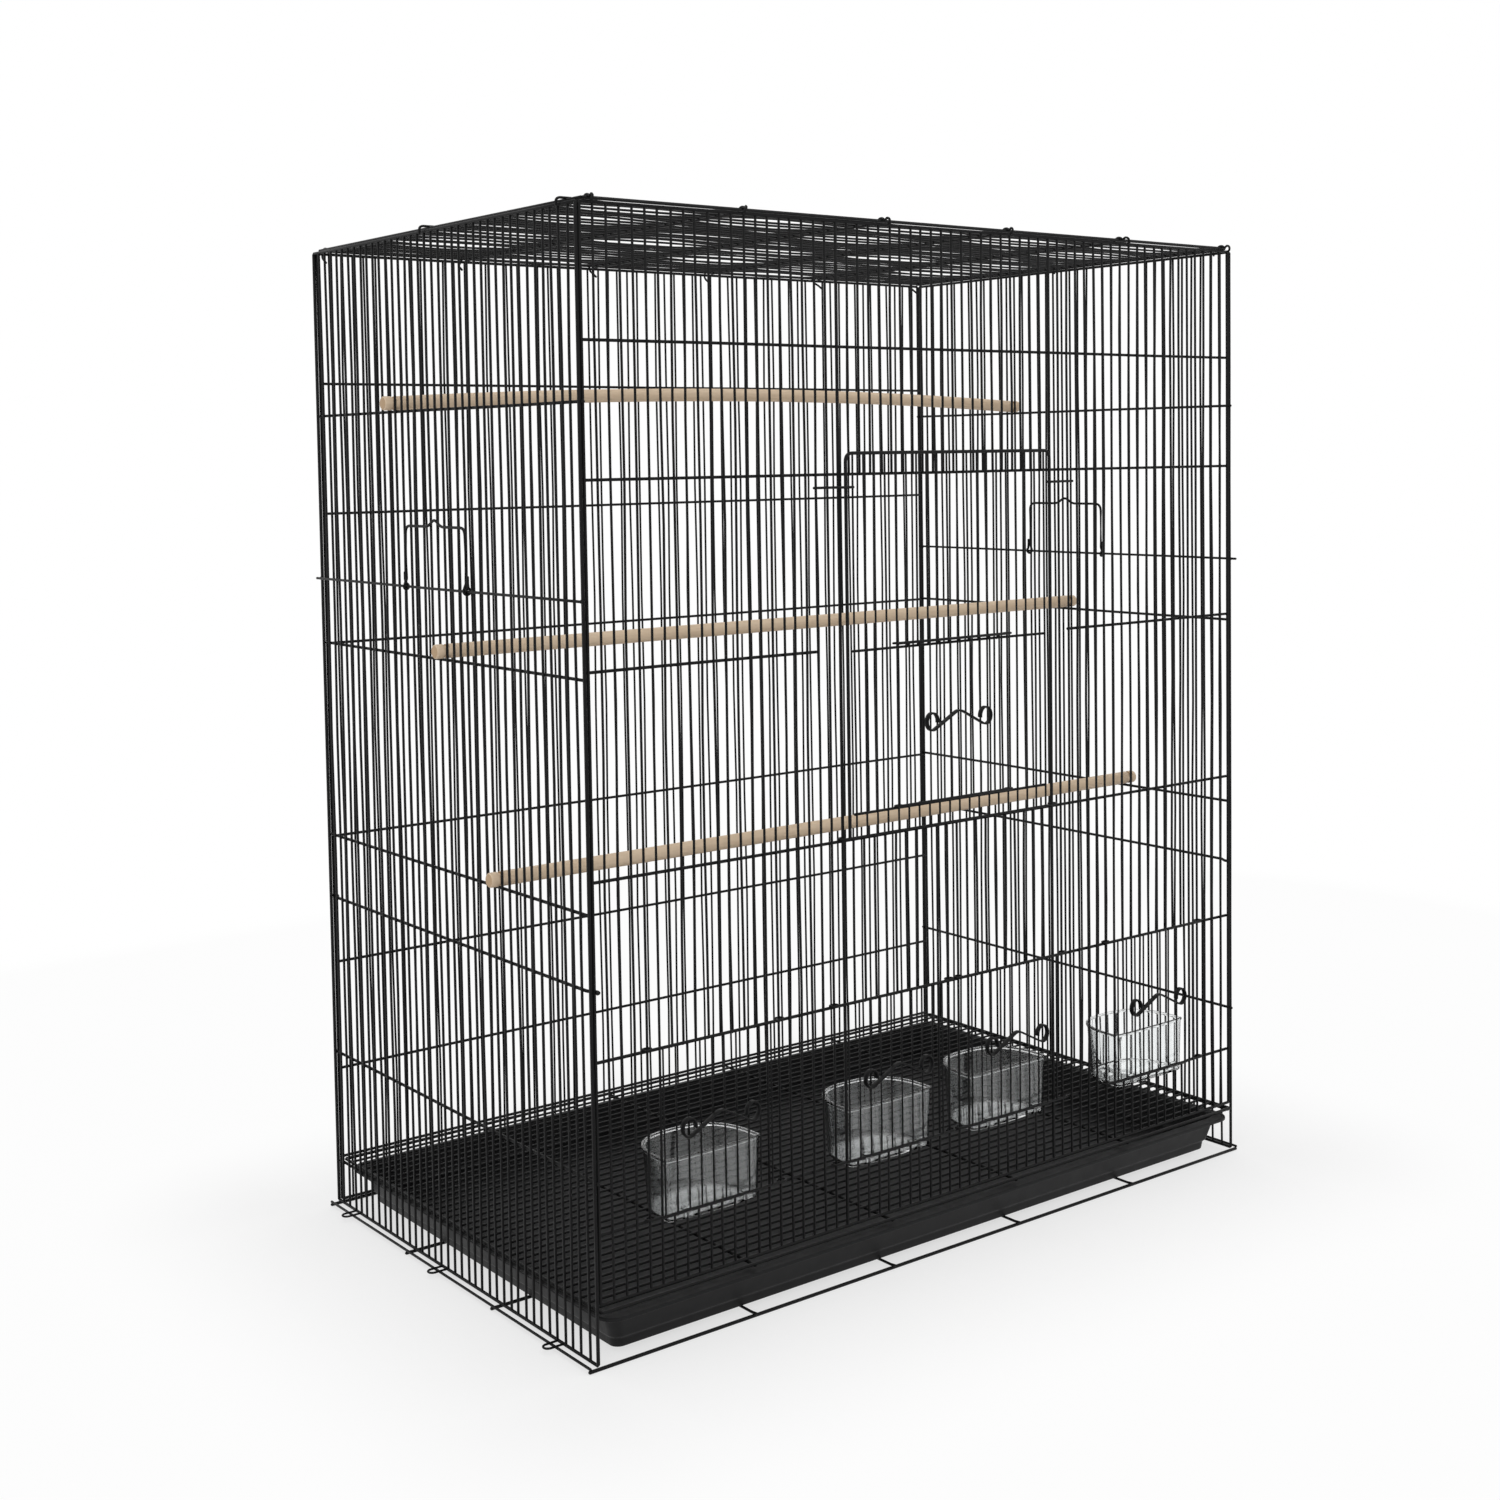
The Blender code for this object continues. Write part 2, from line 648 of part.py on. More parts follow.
def build_feeder_doors(parent, black):
    for number, (first, last) in enumerate(FEEDER_JAMBS):
        left, right = front_x(first - 1), front_x(last + 1)
        slide = empty(f"feeder_slide_{number + 1}", ((left + right) / 2, 0.0, FEEDER_LOW_Z), parent=parent)
        offset = (left + right) / 2
        rise = FEEDER_HIGH_Z - FEEDER_LOW_Z
        rails = bmesh.new()
        for z in (0.0, rise):
            add_eyed_rail(rails, left - offset, right - offset, THIN, FEEDER_Y, z)
        wires = bmesh.new()
        for index in range(first, last + 1):
            add_upright(wires, front_x(index) - offset, 0.0, rise, EYE_WIRE * 0.9, FEEDER_Y)
        weld(f"feeder_door_{number + 1}", [rails, wires], black, slide)
        pull = scroll(f"feeder_scroll_{number + 1}", black, slide)
        pull.location = (0.0, FEEDER_Y - EYE_WIRE / 2 - GAP - SCROLL_STRIP / 2, rise / 2)


def scroll(name, material, parent):
    """A flat strip bent like a moustache, with its width standing off the door."""
    edge = SCROLL_THICK / 2
    tall = SCROLL_CURL * SCROLL_OVAL
    centre_x = SCROLL_WIDTH / 2 - SCROLL_CURL - edge
    centre_z = tall + edge - SCROLL_HEIGHT / 2
    half = []
    for step in range(SCROLL_TURN_STEPS + 1):
        turn = SCROLL_TURN_START - SCROLL_TURN * step / SCROLL_TURN_STEPS
        half.append((centre_x + SCROLL_CURL * math.cos(turn), centre_z + tall * math.sin(turn)))
    top = SCROLL_HEIGHT / 2 - edge
    half += [(SCROLL_PEAK, top - SCROLL_PEAK / 4), (0.0, top)]
    path = half + [(-x, z) for x, z in reversed(half[:-1])]
    shape = bmesh.new()
    points = [(x, 0.0, z) for x, z in path]
    add_strip(shape, points, SCROLL_THICK / 2, SCROLL_STRIP / 2, (0, 1, 0))
    return link(name, mesh_from(shape, name), material, parent)


def main_frame_path(low, high, half):
    """The bent door wire: up one leg, round the top corners and down the other leg."""
    path = [(-half, 0.0, low)]
    for sign, start in ((-1, 1.0), (1, 0.5)):
        centre_x = sign * (half - MAIN_CORNER)
        centre_z = high - MAIN_CORNER
        for step in range(MAIN_CORNER_STEPS + 1):
            turn = math.pi * (start - 0.5 * step / MAIN_CORNER_STEPS)
            x = centre_x + MAIN_CORNER * math.cos(turn)
            path.append((x, 0.0, centre_z + MAIN_CORNER * math.sin(turn)))
    path.append((half, 0.0, low))
    return path


def build_main_door(parent, black):
    """The sliding door: one bent frame wire, a foot wire with eyes on the guides, and four flat grilles."""
    slide = empty("main_slide", (0.0, MAIN_Y, MAIN_LOW_Z), parent=parent)
    low, high = 0.0, MAIN_TOP_Z - MAIN_LOW_Z
    guide = FRONT_HALF - GUIDE_INDEX * FRONT_PITCH
    bent = bmesh.new()
    add_strip(bent, main_frame_path(low, high, MAIN_HALF), EDGE / 2, EDGE / 2, (0, 1, 0))
    foot = bmesh.new()
    behind = EDGE / 2 + GAP + DOOR_RAIL / 2 - MAIN_Y
    path = []
    for way in (-1, 1):
        eye = (
            (way * (guide + EDGE / 2), 0.0, 0.0),
            (way * (guide + MAIN_EYE_TIP), behind / 2, 0.0),
            (way * (guide + EDGE / 2), behind, 0.0),
            (way * (guide - EDGE / 2), behind, 0.0),
        )
        path = list(reversed(eye)) + path if way < 0 else path + list(eye)
    add_strip(foot, path, DOOR_RAIL / 2, DOOR_RAIL / 2, (0, 0, 1))
    weld("main_door_frame", [bent, foot], black, slide)

    first, last = GUIDE_INDEX + 1, FRONT_GAPS - GUIDE_INDEX - 1
    outer = front_x(last) + DOOR_WIRE / 2
    left_jamb, right_jamb = WINDOW_FIRST_WIRE, FRONT_GAPS - WINDOW_FIRST_WIRE
    sill_z = WINDOW_LOW_Z - MAIN_LOW_Z
    head_z = WINDOW_HIGH_Z - MAIN_LOW_Z
    foot_z = DOOR_RAIL / 2 + GAP + DOOR_RAIL / 2
    top_z = high - EDGE / 2 - GAP - DOOR_RAIL / 2
    rail, wire = DOOR_RAIL, DOOR_WIRE
    uprights = [(front_x(i), wire, head_z, top_z) for i in range(first, last + 1)]
    rails = [(head_z, rail, -outer, outer), (top_z, rail, -outer, outer)]
    lattice("main_door_upper_grille", uprights, rails, [], [], black, slide)
    side_high = head_z - rail / 2 - GAP - rail / 2
    for name, start, end in (
        ("main_door_left_grille", first, left_jamb),
        ("main_door_right_grille", right_jamb, last),
    ):
        uprights = [(front_x(i), wire, foot_z, side_high) for i in range(start, end + 1)]
        if start == first:
            ends = (-outer, front_x(end) + rail / 2)
        else:
            ends = (front_x(start) - rail / 2, outer)
        rails = [(foot_z, rail, *ends), (sill_z, rail, *ends), (side_high, rail, *ends)]
        lattice(name, uprights, rails, [], [], black, slide)
    clear = rail + GAP
    ends = (front_x(left_jamb) + clear, front_x(right_jamb) - clear)
    uprights = [(front_x(i), wire, foot_z, sill_z) for i in range(left_jamb + 1, right_jamb)]
    rails = [(foot_z, rail, *ends), (sill_z, rail, *ends)]
    lattice("main_door_sill", uprights, rails, [], [], black, slide)
    return slide


def build_keepers(parent, black):
    """Short wires on the panel that reach over the door's legs and hold them in."""
    guide = FRONT_HALF - GUIDE_INDEX * FRONT_PITCH
    root_y = -(THIN / 2 + GAP + KEEPER_WIRE / 2)
    for name, way in (("door_keeper_left", -1), ("door_keeper_right", 1)):
        near = guide + EDGE + KEEPER_WIRE
        path = (
            (near + KEEPER_FOOT, root_y),
            (near + KEEPER_WIRE, root_y),
            (near - KEEPER_WIRE, KEEPER_Y),
            (guide - KEEPER_NOSE, KEEPER_Y),
        )
        shape = bmesh.new()
        points = [(way * x, y, 0.0) for x, y in path]
        add_strip(shape, points, KEEPER_WIRE / 2, KEEPER_WIRE / 2, (0, 0, 1))
        item = link(name, mesh_from(shape, name), black, parent)
        item.location = (0.0, 0.0, KEEPER_Z)


def build_inner_door(parent, black):
    """The small door, hung by its eyes on the main door's wires either side of the window."""
    slide = empty("inner_slide", (0.0, 0.0, INNER_LOW_Z - MAIN_LOW_Z), parent=parent)
    rail_y = INNER_Y - MAIN_Y
    left, right = front_x(WINDOW_FIRST_WIRE), front_x(FRONT_GAPS - WINDOW_FIRST_WIRE)
    rise = INNER_HIGH_Z - INNER_LOW_Z
    rails = bmesh.new()
    for z in (0.0, rise):
        add_eyed_rail(rails, left, right, DOOR_WIRE, rail_y, z)
    wires = bmesh.new()
    for index in range(WINDOW_FIRST_WIRE + 1, FRONT_GAPS - WINDOW_FIRST_WIRE):
        add_upright(wires, front_x(index), 0.0, rise, EYE_WIRE * 0.9, rail_y)
    weld("inner_door", [rails, wires], black, slide)
    pull = scroll("inner_door_scroll", black, slide)
    pull.location = (0.0, rail_y - EYE_WIRE / 2 - GAP - SCROLL_STRIP / 2, rise / 2)


def cup_ring(scale, inset, z):
    """The cup's outline at one height: flat at the front, a full curve behind."""
    half = CUP_WIDTH / 2 * scale - inset
    deep = CUP_DEPTH * scale - inset
    front = max(inset, 0.0)
    ring = []
    for step in range(CUP_STEPS + 1):
        turn = math.pi * step / CUP_STEPS
        across = math.copysign(abs(math.cos(turn)) ** (2 / CUP_ROUND), math.cos(turn))
        ring.append((half * across, front + (deep - front) * math.sin(turn) ** (2 / CUP_ROUND), z))
    return ring


def build_cups(parent, clear_plastic):
    front = RAIL / 2 + GAP
    for number, (first, last) in enumerate(FEEDER_JAMBS):
        middle = (front_x(first) + front_x(last)) / 2
        walls = bmesh.new()
        top = CUP_HEIGHT
        rings = (
            cup_ring(CUP_TAPER, 0.0, 0.0),
            cup_ring(1.0, CUP_RIM, top - CUP_RIM_HEIGHT),
            cup_ring(1.0, 0.0, top - CUP_RIM_HEIGHT * 0.9),
            cup_ring(1.0, 0.0, top),
            cup_ring(1.0, CUP_RIM + CUP_WALL, top),
            cup_ring(CUP_TAPER, CUP_WALL, CUP_WALL),
        )
        skin(walls, rings)
        tabs = bmesh.new()
        over = SILL_Z + RAIL / 2 + GAP + CUP_TAB / 2 - CUP_FLOOR_Z
        lip = -(RAIL + GAP * 2 + CUP_TAB / 2)
        for sign in (-1, 1):
            x = sign * CUP_TAB_SPREAD
            path = (
                (x, CUP_WALL * 0.7, over),
                (x, lip, over),
                (x, lip, over - CUP_TAB_DROP),
            )
            add_strip(tabs, path, CUP_TAB / 2, CUP_TAB_WIDTH / 2, (1, 0, 0))
        item = weld(f"cup_{number + 1}", [walls, tabs], clear_plastic, parent)
        item.location = (middle, front, CUP_FLOOR_Z)


def build_perches(wood):
    """Dowels that rest on the end panels' cross wires, grooved to pass between two upright wires."""
    clear = THIN / 2 + GAP
    end = WIDTH / 2 + clear + PERCH_HEAD
    outer, inner = WIDTH / 2 + clear, WIDTH / 2 - clear
    neck = SIDE_PITCH / 2 - clear
    names = ("perch_high", "perch_middle", "perch_low")
    carried = (HIGH_PERCH_WIRE_Z, MIDDLE_PERCH_WIRE_Z, LOW_PERCH_WIRE_Z)
    for name, carried_z, gap_number in zip(names, carried, PERCH_GAPS):
        bow = PERCH_BOW if name == "perch_high" else 0.0
        half = [(end, neck), (end - PERCH_HEAD / 4, PERCH_RADIUS), (outer, PERCH_RADIUS), (outer, neck)]
        half += [(inner, neck), (inner, PERCH_RADIUS)]
        middle = [inner * share for share in ((0.55, 0.0, -0.55) if bow else ())]
        stations = half + [(x, PERCH_RADIUS) for x in middle] + [(-x, r) for x, r in reversed(half)]
        points = []
        radii = []
        for x, radius in stations:
            share = min(abs(x) / inner, 1.0)
            points.append((x, bow * (1 - share * share)))
            radii.append(radius)
        shape = bmesh.new()
        rings = []
        for (x, lift), radius in zip(points, radii):
            ring = []
            for k in range(PERCH_SIDES):
                turn = 2 * math.pi * k / PERCH_SIDES
                ring.append((x, radius * math.cos(turn), lift + radius * math.sin(turn)))
            rings.append(ring)
        skin(shape, rings)
        item = link(name, mesh_from(shape, name), wood)
        y = FRONT_Y + gap_number * SIDE_PITCH
        item.location = (0.0, y, carried_z + BAR / 2 + GAP + PERCH_RADIUS)


def handle_path():
    """The handle in its own axes: x along the panel, y into the cage and z up, on its hinge wire.

    Either end is a tail that comes down beside its leg, goes once round the hinge wire and rises as the leg.
    """
    half = HANDLE_HALF_GAPS * SIDE_PITCH
    plane = HANDLE_OFFSET - (EDGE / 2 + GAP + HANDLE_RADIUS)
    wrap = math.hypot(BAR / 2, BAR / 2) + GAP + HANDLE_RADIUS
    apart = HANDLE_RADIUS + GAP / 2
    side = [(half + apart, plane, HANDLE_TAIL), (half + apart, plane, HANDLE_NECK)]
    for step in range(HANDLE_TURN_STEPS + 1):
        share = step / HANDLE_TURN_STEPS
        turn = HANDLE_TURN_START - HANDLE_TURN * share
        x = half + apart * (1 - 2 * share)
        side.append((x, wrap * math.cos(turn), wrap * math.sin(turn)))
    side.append((half - apart, plane, HANDLE_NECK))
    for step in range(HANDLE_CORNER_STEPS + 1):
        turn = math.pi / 2 * step / HANDLE_CORNER_STEPS
        x = half - apart - HANDLE_CORNER * (1 - math.cos(turn))
        side.append((x, plane, HANDLE_RISE - HANDLE_CORNER * (1 - math.sin(turn))))
    side.append((HANDLE_PEAK_WIDTH, plane, HANDLE_RISE))
    mirrored = [(-x, y, z) for x, y, z in reversed(side)]
    return side + [(0.0, plane, HANDLE_RISE + HANDLE_PEAK)] + mirrored


def build_handles(left, right, black):
    for name, parent in (("carry_handle_left", left), ("carry_handle_right", right)):
        shape = bmesh.new()
        path = handle_path()
        add_tube(shape, path, [HANDLE_RADIUS] * len(path), HANDLE_SIDES)
        item = link(name, mesh_from(shape, name), black, parent)
        item.location = (0.0, -HANDLE_OFFSET, HANDLE_WIRE_Z)


def build_cage():
    clear_scene()
    black = make_material("powder_black", (0.012, 0.012, 0.013), 0.38, 0.35)
    tray_plastic = make_material("tray_plastic", (0.022, 0.022, 0.023), 0.6)
    cup_plastic = make_material("cup_plastic", (0.85, 0.87, 0.87), 0.12, alpha=0.35)
    wood = make_material("perch_wood", (0.62, 0.45, 0.28), 0.65)
    front = empty("front_frame", (0.0, FRONT_Y, 0.0))
    back = empty("back_frame", (0.0, BACK_Y, 0.0), (0.0, 0.0, math.pi))
    middle_y = (FRONT_Y + BACK_Y) / 2
    left = empty("left_frame", (-WIDTH / 2, middle_y, 0.0), (0.0, 0.0, -math.pi / 2))
    right = empty("right_frame", (WIDTH / 2, middle_y, 0.0), (0.0, 0.0, math.pi / 2))
    roof = empty("roof_frame", (0.0, middle_y, PANEL_TOP + GAP + EDGE / 2))
    roof.rotation_euler = (math.pi / 2, 0.0, math.pi / 2)
    floor_z = RUNNER_Z + BAR / 2 + GAP + THIN / 2 + (RAIL - THIN) / 2
    floor = empty("floor_frame", (0.0, middle_y, floor_z))
    floor.rotation_euler = (-math.pi / 2, 0.0, math.pi / 2)
    build_front(front, black)
    build_back(back, black)
    build_side("left", left, black)
    build_side("right", right, black)
    build_roof(roof, black)
    build_base(black)
    build_grille(floor, black)
    build_tray(tray_plastic)
    main_slide = build_main_door(front, black)
    build_keepers(front, black)
    build_inner_door(main_slide, black)
    build_feeder_doors(front, black)
    build_cups(front, cup_plastic)
    build_perches(wood)
    build_handles(left, right, black)


build_cage()
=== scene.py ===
import bpy
import numpy as np
from mathutils import Matrix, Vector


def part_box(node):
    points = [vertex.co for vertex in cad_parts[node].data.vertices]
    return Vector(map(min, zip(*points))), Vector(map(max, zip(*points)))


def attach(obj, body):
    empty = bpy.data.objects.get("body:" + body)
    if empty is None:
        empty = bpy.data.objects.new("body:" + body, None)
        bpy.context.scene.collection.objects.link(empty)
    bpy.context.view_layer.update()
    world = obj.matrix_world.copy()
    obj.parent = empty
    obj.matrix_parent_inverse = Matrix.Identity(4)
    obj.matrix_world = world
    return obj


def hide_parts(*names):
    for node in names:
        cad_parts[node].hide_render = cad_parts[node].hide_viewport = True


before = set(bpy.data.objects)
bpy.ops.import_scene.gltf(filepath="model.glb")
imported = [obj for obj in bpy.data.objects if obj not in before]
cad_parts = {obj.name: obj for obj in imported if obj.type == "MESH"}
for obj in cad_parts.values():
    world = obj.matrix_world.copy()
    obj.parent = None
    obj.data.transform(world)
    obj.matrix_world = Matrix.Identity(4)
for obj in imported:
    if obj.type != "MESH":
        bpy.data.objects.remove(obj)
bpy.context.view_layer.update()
print("frame loaded:", len(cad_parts), "nodes")

cage = {
    "width": 0.762, "depth": 0.457,
    "topRail": 0.90735,  # height of the panels' top rails
    "panelFoot": 0.0046,  # foot rail of the end and back panels
    "frontHalf": 0.3777,  # middle to corner wire, front and back
    "frontGaps": 63, "sideGaps": 38,
    "roof": 0.91045, "wireFloor": 0.0461,
    "middleY": sum(corner.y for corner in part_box("top_panel")) / 2,
}
wire = {
    # radii
    "thin": 0.00115, "cross": 0.00135, "bar": 0.0011, "rail": 0.0014, "edge": 0.0015,
    "door": 0.00095, "doorRail": 0.001, "eye": 0.0009, "eyeUpright": 0.00085,
    # how far a wire strays from straight: a long one, a stiffly held one, and the straightest
    "bow": 0.0011, "calmBow": 0.0002, "leastBow": 0.0001,
    "bowLengths": (0.46, 0.24, 0.13), "bowShares": (0.6, 0.28, 0.12), "outwardShare": 0.15,
    "crossBow": 0.00015, "crossTurns": (19, 70),
    "longRun": 0.3, "longStations": 9, "shortStations": 4, "crossStations": 7,
    "lap": 0.00195,  # cross wire's middle from the upright's middle, sunk a little by the weld
}
frontPitch = 2 * cage["frontHalf"] / cage["frontGaps"]
sidePitch = cage["depth"] / cage["sideGaps"]
halfWidth, halfDepth = cage["width"] / 2, cage["depth"] / 2
panelEnds = cage["panelFoot"], cage["topRail"]
frontY, backY = cage["middleY"] - halfDepth, cage["middleY"] + halfDepth


def frontX(index):  # place of an upright along the front or back
    return -cage["frontHalf"] + np.asarray(index) * frontPitch


# shapes

wireEnd = {"narrow": 0.6, "reach": 0.5}  # shares of the wire's radius
mostCut = 0.48  # share of the shorter side that a rounded corner may take


def unit(vectors):
    return vectors / np.linalg.norm(vectors, axis=-1, keepdims=True)


def points(*columns):  # columns or single numbers, as rows of coordinates
    return np.stack(np.broadcast_arrays(*columns), axis=-1)


def stacked(paths):  # one path or many, as (wires, stations, 3)
    paths = np.asarray(paths, float)
    return paths.reshape((-1,) + paths.shape[-2:])


def skin(rings):
    # four-sided faces join each ring to the next, and one face closes either end
    count, stations, corners = rings.shape[:3]
    index = np.arange(count * stations * corners).reshape(count, stations, corners)
    turned = np.roll(index, -1, axis=2)
    quads = np.stack([index[:, :-1], turned[:, :-1], turned[:, 1:], index[:, 1:]], axis=-1)
    return rings.reshape(-1, 3), quads.reshape(-1, 4), np.concatenate([index[:, 0, ::-1], index[:, -1]])


def sweep(paths, outline, flat, size=1.0):
    # ring = point + size (a N + b B) for each corner (a, b) of the outline, where T is the path's direction,
    # N is flat less its part along T, and B = T x N; an anticlockwise outline faces outwards
    paths = stacked(paths)
    way = unit(np.gradient(paths, axis=1))
    flat = np.broadcast_to(flat, paths.shape)
    normal = unit(flat - way * (flat * way).sum(-1, keepdims=True))
    other = np.cross(way, normal)
    size = np.broadcast_to(size, paths.shape[:2])[..., None, None]
    outline = np.asarray(outline, float)
    offset = outline[:, :1] * normal[:, :, None] + outline[:, 1:] * other[:, :, None]
    return skin(paths[:, :, None] + size * offset)


def tubes(paths, radius, flat=(0, 0, 1), sides=8, soft=True):
    # round wire: sweep a circle, which narrows at a soft end
    paths = stacked(paths)
    radius = np.broadcast_to(radius, paths.shape[:2])
    if soft:
        reach, narrow = wireEnd["reach"], wireEnd["narrow"]
        first = paths[:, 0] + unit(paths[:, 1] - paths[:, 0]) * radius[:, :1] * reach
        last = paths[:, -1] + unit(paths[:, -2] - paths[:, -1]) * radius[:, -1:] * reach
        inner = first[:, None], paths[:, 1:-1], last[:, None]
        paths = np.concatenate([paths[:, :1], *inner, paths[:, -1:]], axis=1)
        radius = np.concatenate([radius[:, :1] * narrow, radius, radius[:, -1:] * narrow], axis=1)
        flat = np.asarray(flat, float)
        if flat.ndim > 1:
            flat = np.concatenate([flat[:1], flat, flat[-1:]])
    turn = 2 * np.pi * (np.arange(sides) + 0.5) / sides
    return sweep(paths, points(np.cos(turn), np.sin(turn)), flat, radius)


def stripOutline(width, thick, cut=0.0003):
    # a flat strip's cross-section, with its four corners cut off
    wide, thin = width / 2, thick / 2
    return [(wide, thin - cut), (wide - cut, thin), (cut - wide, thin), (-wide, thin - cut),
            (-wide, cut - thin), (cut - wide, -thin), (wide - cut, -thin), (wide, cut - thin)]


def rounded(path, cut, steps=3):
    # each corner p becomes (1-t)^2 a + 2t(1-t) p + t^2 b, with a and b a cut's length before and after p
    path = np.asarray(path, float)
    corner = path[..., 1:-1, :]
    sides = path[..., :-2, :] - corner, path[..., 2:, :] - corner
    reach = np.minimum(*(np.linalg.norm(side, axis=-1) for side in sides)) * mostCut
    reach = np.minimum(cut, reach)[..., None]
    start, end = (corner + unit(side) * reach for side in sides)
    t = np.linspace(0, 1, steps + 1)[:, None]
    parts = (1 - t) ** 2 * start[..., None, :], 2 * t * (1 - t) * corner[..., None, :], t**2 * end[..., None, :]
    curve = sum(parts).reshape(path.shape[:-2] + (-1, path.shape[-1]))
    return np.concatenate([path[..., :1, :], curve, path[..., -1:, :]], axis=-2)


# panels: a point is origin + u across + v inward + w up


def panelFrame(origin, across, inward, up=(0, 0, 1)):
    names = ("origin", "across", "inward", "up")
    return {name: np.array(value, float) for name, value in zip(names, (origin, across, inward, up))}


front = panelFrame((0, frontY, 0), (1, 0, 0), (0, 1, 0))
back = panelFrame((0, backY, 0), (-1, 0, 0), (0, -1, 0))
left = panelFrame((-halfWidth, cage["middleY"], 0), (0, -1, 0), (1, 0, 0))
right = panelFrame((halfWidth, cage["middleY"], 0), (0, 1, 0), (-1, 0, 0))
roof = panelFrame((0, cage["middleY"], cage["roof"]), (0, 1, 0), (0, 0, 1), (1, 0, 0))
floor = panelFrame((0, cage["middleY"], cage["wireFloor"]), (0, 1, 0), (0, 0, -1), (1, 0, 0))


def onPanel(panel, u, v, w):
    u, v, w = (np.asarray(part, float)[..., None] for part in (u, v, w))
    return panel["origin"] + u * panel["across"] + v * panel["inward"] + w * panel["up"]


def sway(height, phases, bow):
    # a drawn wire's bow: three sines of its height, each with its own length, share and phase
    turn = 2 * np.pi * height[..., None] / np.array(wire["bowLengths"]) + phases[:, None, :]
    return bow * (np.sin(turn) * np.array(wire["bowShares"])).sum(-1)


def wireRuns(across, low, high, radius, bow, seed, index=None):
    # one row for each straight run; runs of one wire share its phases through index
    across, low, high, radius, bow = np.broadcast_arrays(across, low, high, radius, bow)
    index = np.arange(len(across)) if index is None else index
    draw = np.random.default_rng(seed).uniform(0, 2 * np.pi, (index.max() + 1, 3))
    return {"across": across, "low": low, "high": high, "radius": radius, "bow": bow, "phases": draw[index]}


def brokenRuns(indices, low, high, doorways):
    # each straight run's index, low end and high end; a doorway is (side wires, bottom, top), lowest first
    rows = []
    for index in indices:
        ends = [low, high]
        for (first, last), bottom, top in doorways:
            if first < index < last:
                ends[-1:-1] = bottom, top
        rows += [(index, *pair) for pair in zip(ends[::2], ends[1::2])]
    index, lows, highs = np.array(rows).T
    return index.astype(int), lows, highs


def fullRuns(across, low, high, seed, calm=(), bow=(wire["bow"], wire["calmBow"])):
    # from rail to rail: the outer two are thick, and these and the calm ones bow least; bow is (most, least)
    index = np.arange(len(across))
    outer = np.isin(index, (0, len(across) - 1))
    bow = np.where(outer | np.isin(index, calm), bow[1], bow[0])
    return wireRuns(across, low, high, np.where(outer, wire["edge"], wire["thin"]), bow, seed)


def uprights(panel, runs, face=0.0):
    # a run bows sideways by its sway, and by a little of it out of the panel
    parts = []
    long = runs["high"] - runs["low"] > wire["longRun"]
    for chosen, stations in ((long, wire["longStations"]), (~long, wire["shortStations"])):
        if chosen.any():
            some = {key: value[chosen] for key, value in runs.items()}
            share = np.linspace(0, 1, stations)
            height = some["low"][:, None] + (some["high"] - some["low"])[:, None] * share
            u = some["across"][:, None] + sway(height, some["phases"], some["bow"][:, None])
            v = face + wire["outwardShare"] * sway(height, some["phases"][:, ::-1], some["bow"][:, None])
            parts.append(tubes(onPanel(panel, u, v, height), some["radius"][:, None], panel["inward"], 6))
    return parts


def bentWire(panel, line, cut, radius, flat=(0, 0, 1), steps=3):
    # a wire through points (u, v, w) of a panel, its corners rounded
    return tubes(rounded(onPanel(panel, *line), cut, steps), radius, flat)


def rowsAt(half, *heights):  # cross wires as (height, low end, high end)
    return [(height, -half, half) for height in heights]


def crossWires(panel, rows, face, radius):
    # a cross wire strays by a sine of its place along, shifted by its height
    rows = np.array(rows, float)
    along = rows[:, 1:2] + (rows[:, 2:3] - rows[:, 1:2]) * np.linspace(0, 1, wire["crossStations"])
    turn, shift = wire["crossTurns"]
    height = rows[:, :1] + wire["crossBow"] * np.sin(along * turn + rows[:, :1] * shift)
    return tubes(onPanel(panel, along, face, height), radius, panel["up"])


bead = {
    "size": 0.00142, "depth": 0.00075, "stations": (-1.0, -0.4, 0.4, 1.0), "widths": (0.6, 1.0, 1.0, 0.6),
    "reach": 0.001,  # how far past its end a wire still takes a weld
}


def weldBeads(panel, runs, rows, lap, size=1.0):
    # a squat bead between the wires wherever a cross wire meets an upright
    parts, reach = [], bead["reach"]
    v = lap / 2 + size * bead["depth"] * np.array(bead["stations"])
    radius = size * bead["size"] * np.array(bead["widths"])
    for height, low, high in rows:
        meets = (runs["low"] < height + reach) & (runs["high"] > height - reach)
        meets &= (runs["across"] > low - reach) & (runs["across"] < high + reach)
        level = np.full((meets.sum(), 1), height)
        u = runs["across"][meets, None] + sway(level, runs["phases"][meets], runs["bow"][meets, None])
        parts.append(tubes(onPanel(panel, u, v, level), radius, panel["up"], 6, soft=False))
    return parts


def lattice(panel, runs, bars, rails):
    parts = uprights(panel, runs)
    parts.append(crossWires(panel, rails, 0.0, wire["rail"]))
    parts.append(crossWires(panel, bars, wire["lap"], wire["cross"]))
    return parts + weldBeads(panel, runs, bars, wire["lap"])


# materials


def feed(tree, sockets, values):  # an input takes a plain value, or a link from another node's output
    for socket, value in zip(sockets, values):
        if isinstance(value, bpy.types.NodeSocket):
            tree.links.new(value, socket)
        else:
            socket.default_value = value


def dress(tree, node, **inputs):
    feed(tree, [node.inputs[name.replace("_", " ")] for name in inputs], inputs.values())


def addNode(tree, kind, settings=(), **inputs):
    node = tree.nodes.new(kind)
    for name, value in dict(settings).items():
        setattr(node, name, value)
    dress(tree, node, **inputs)
    return node


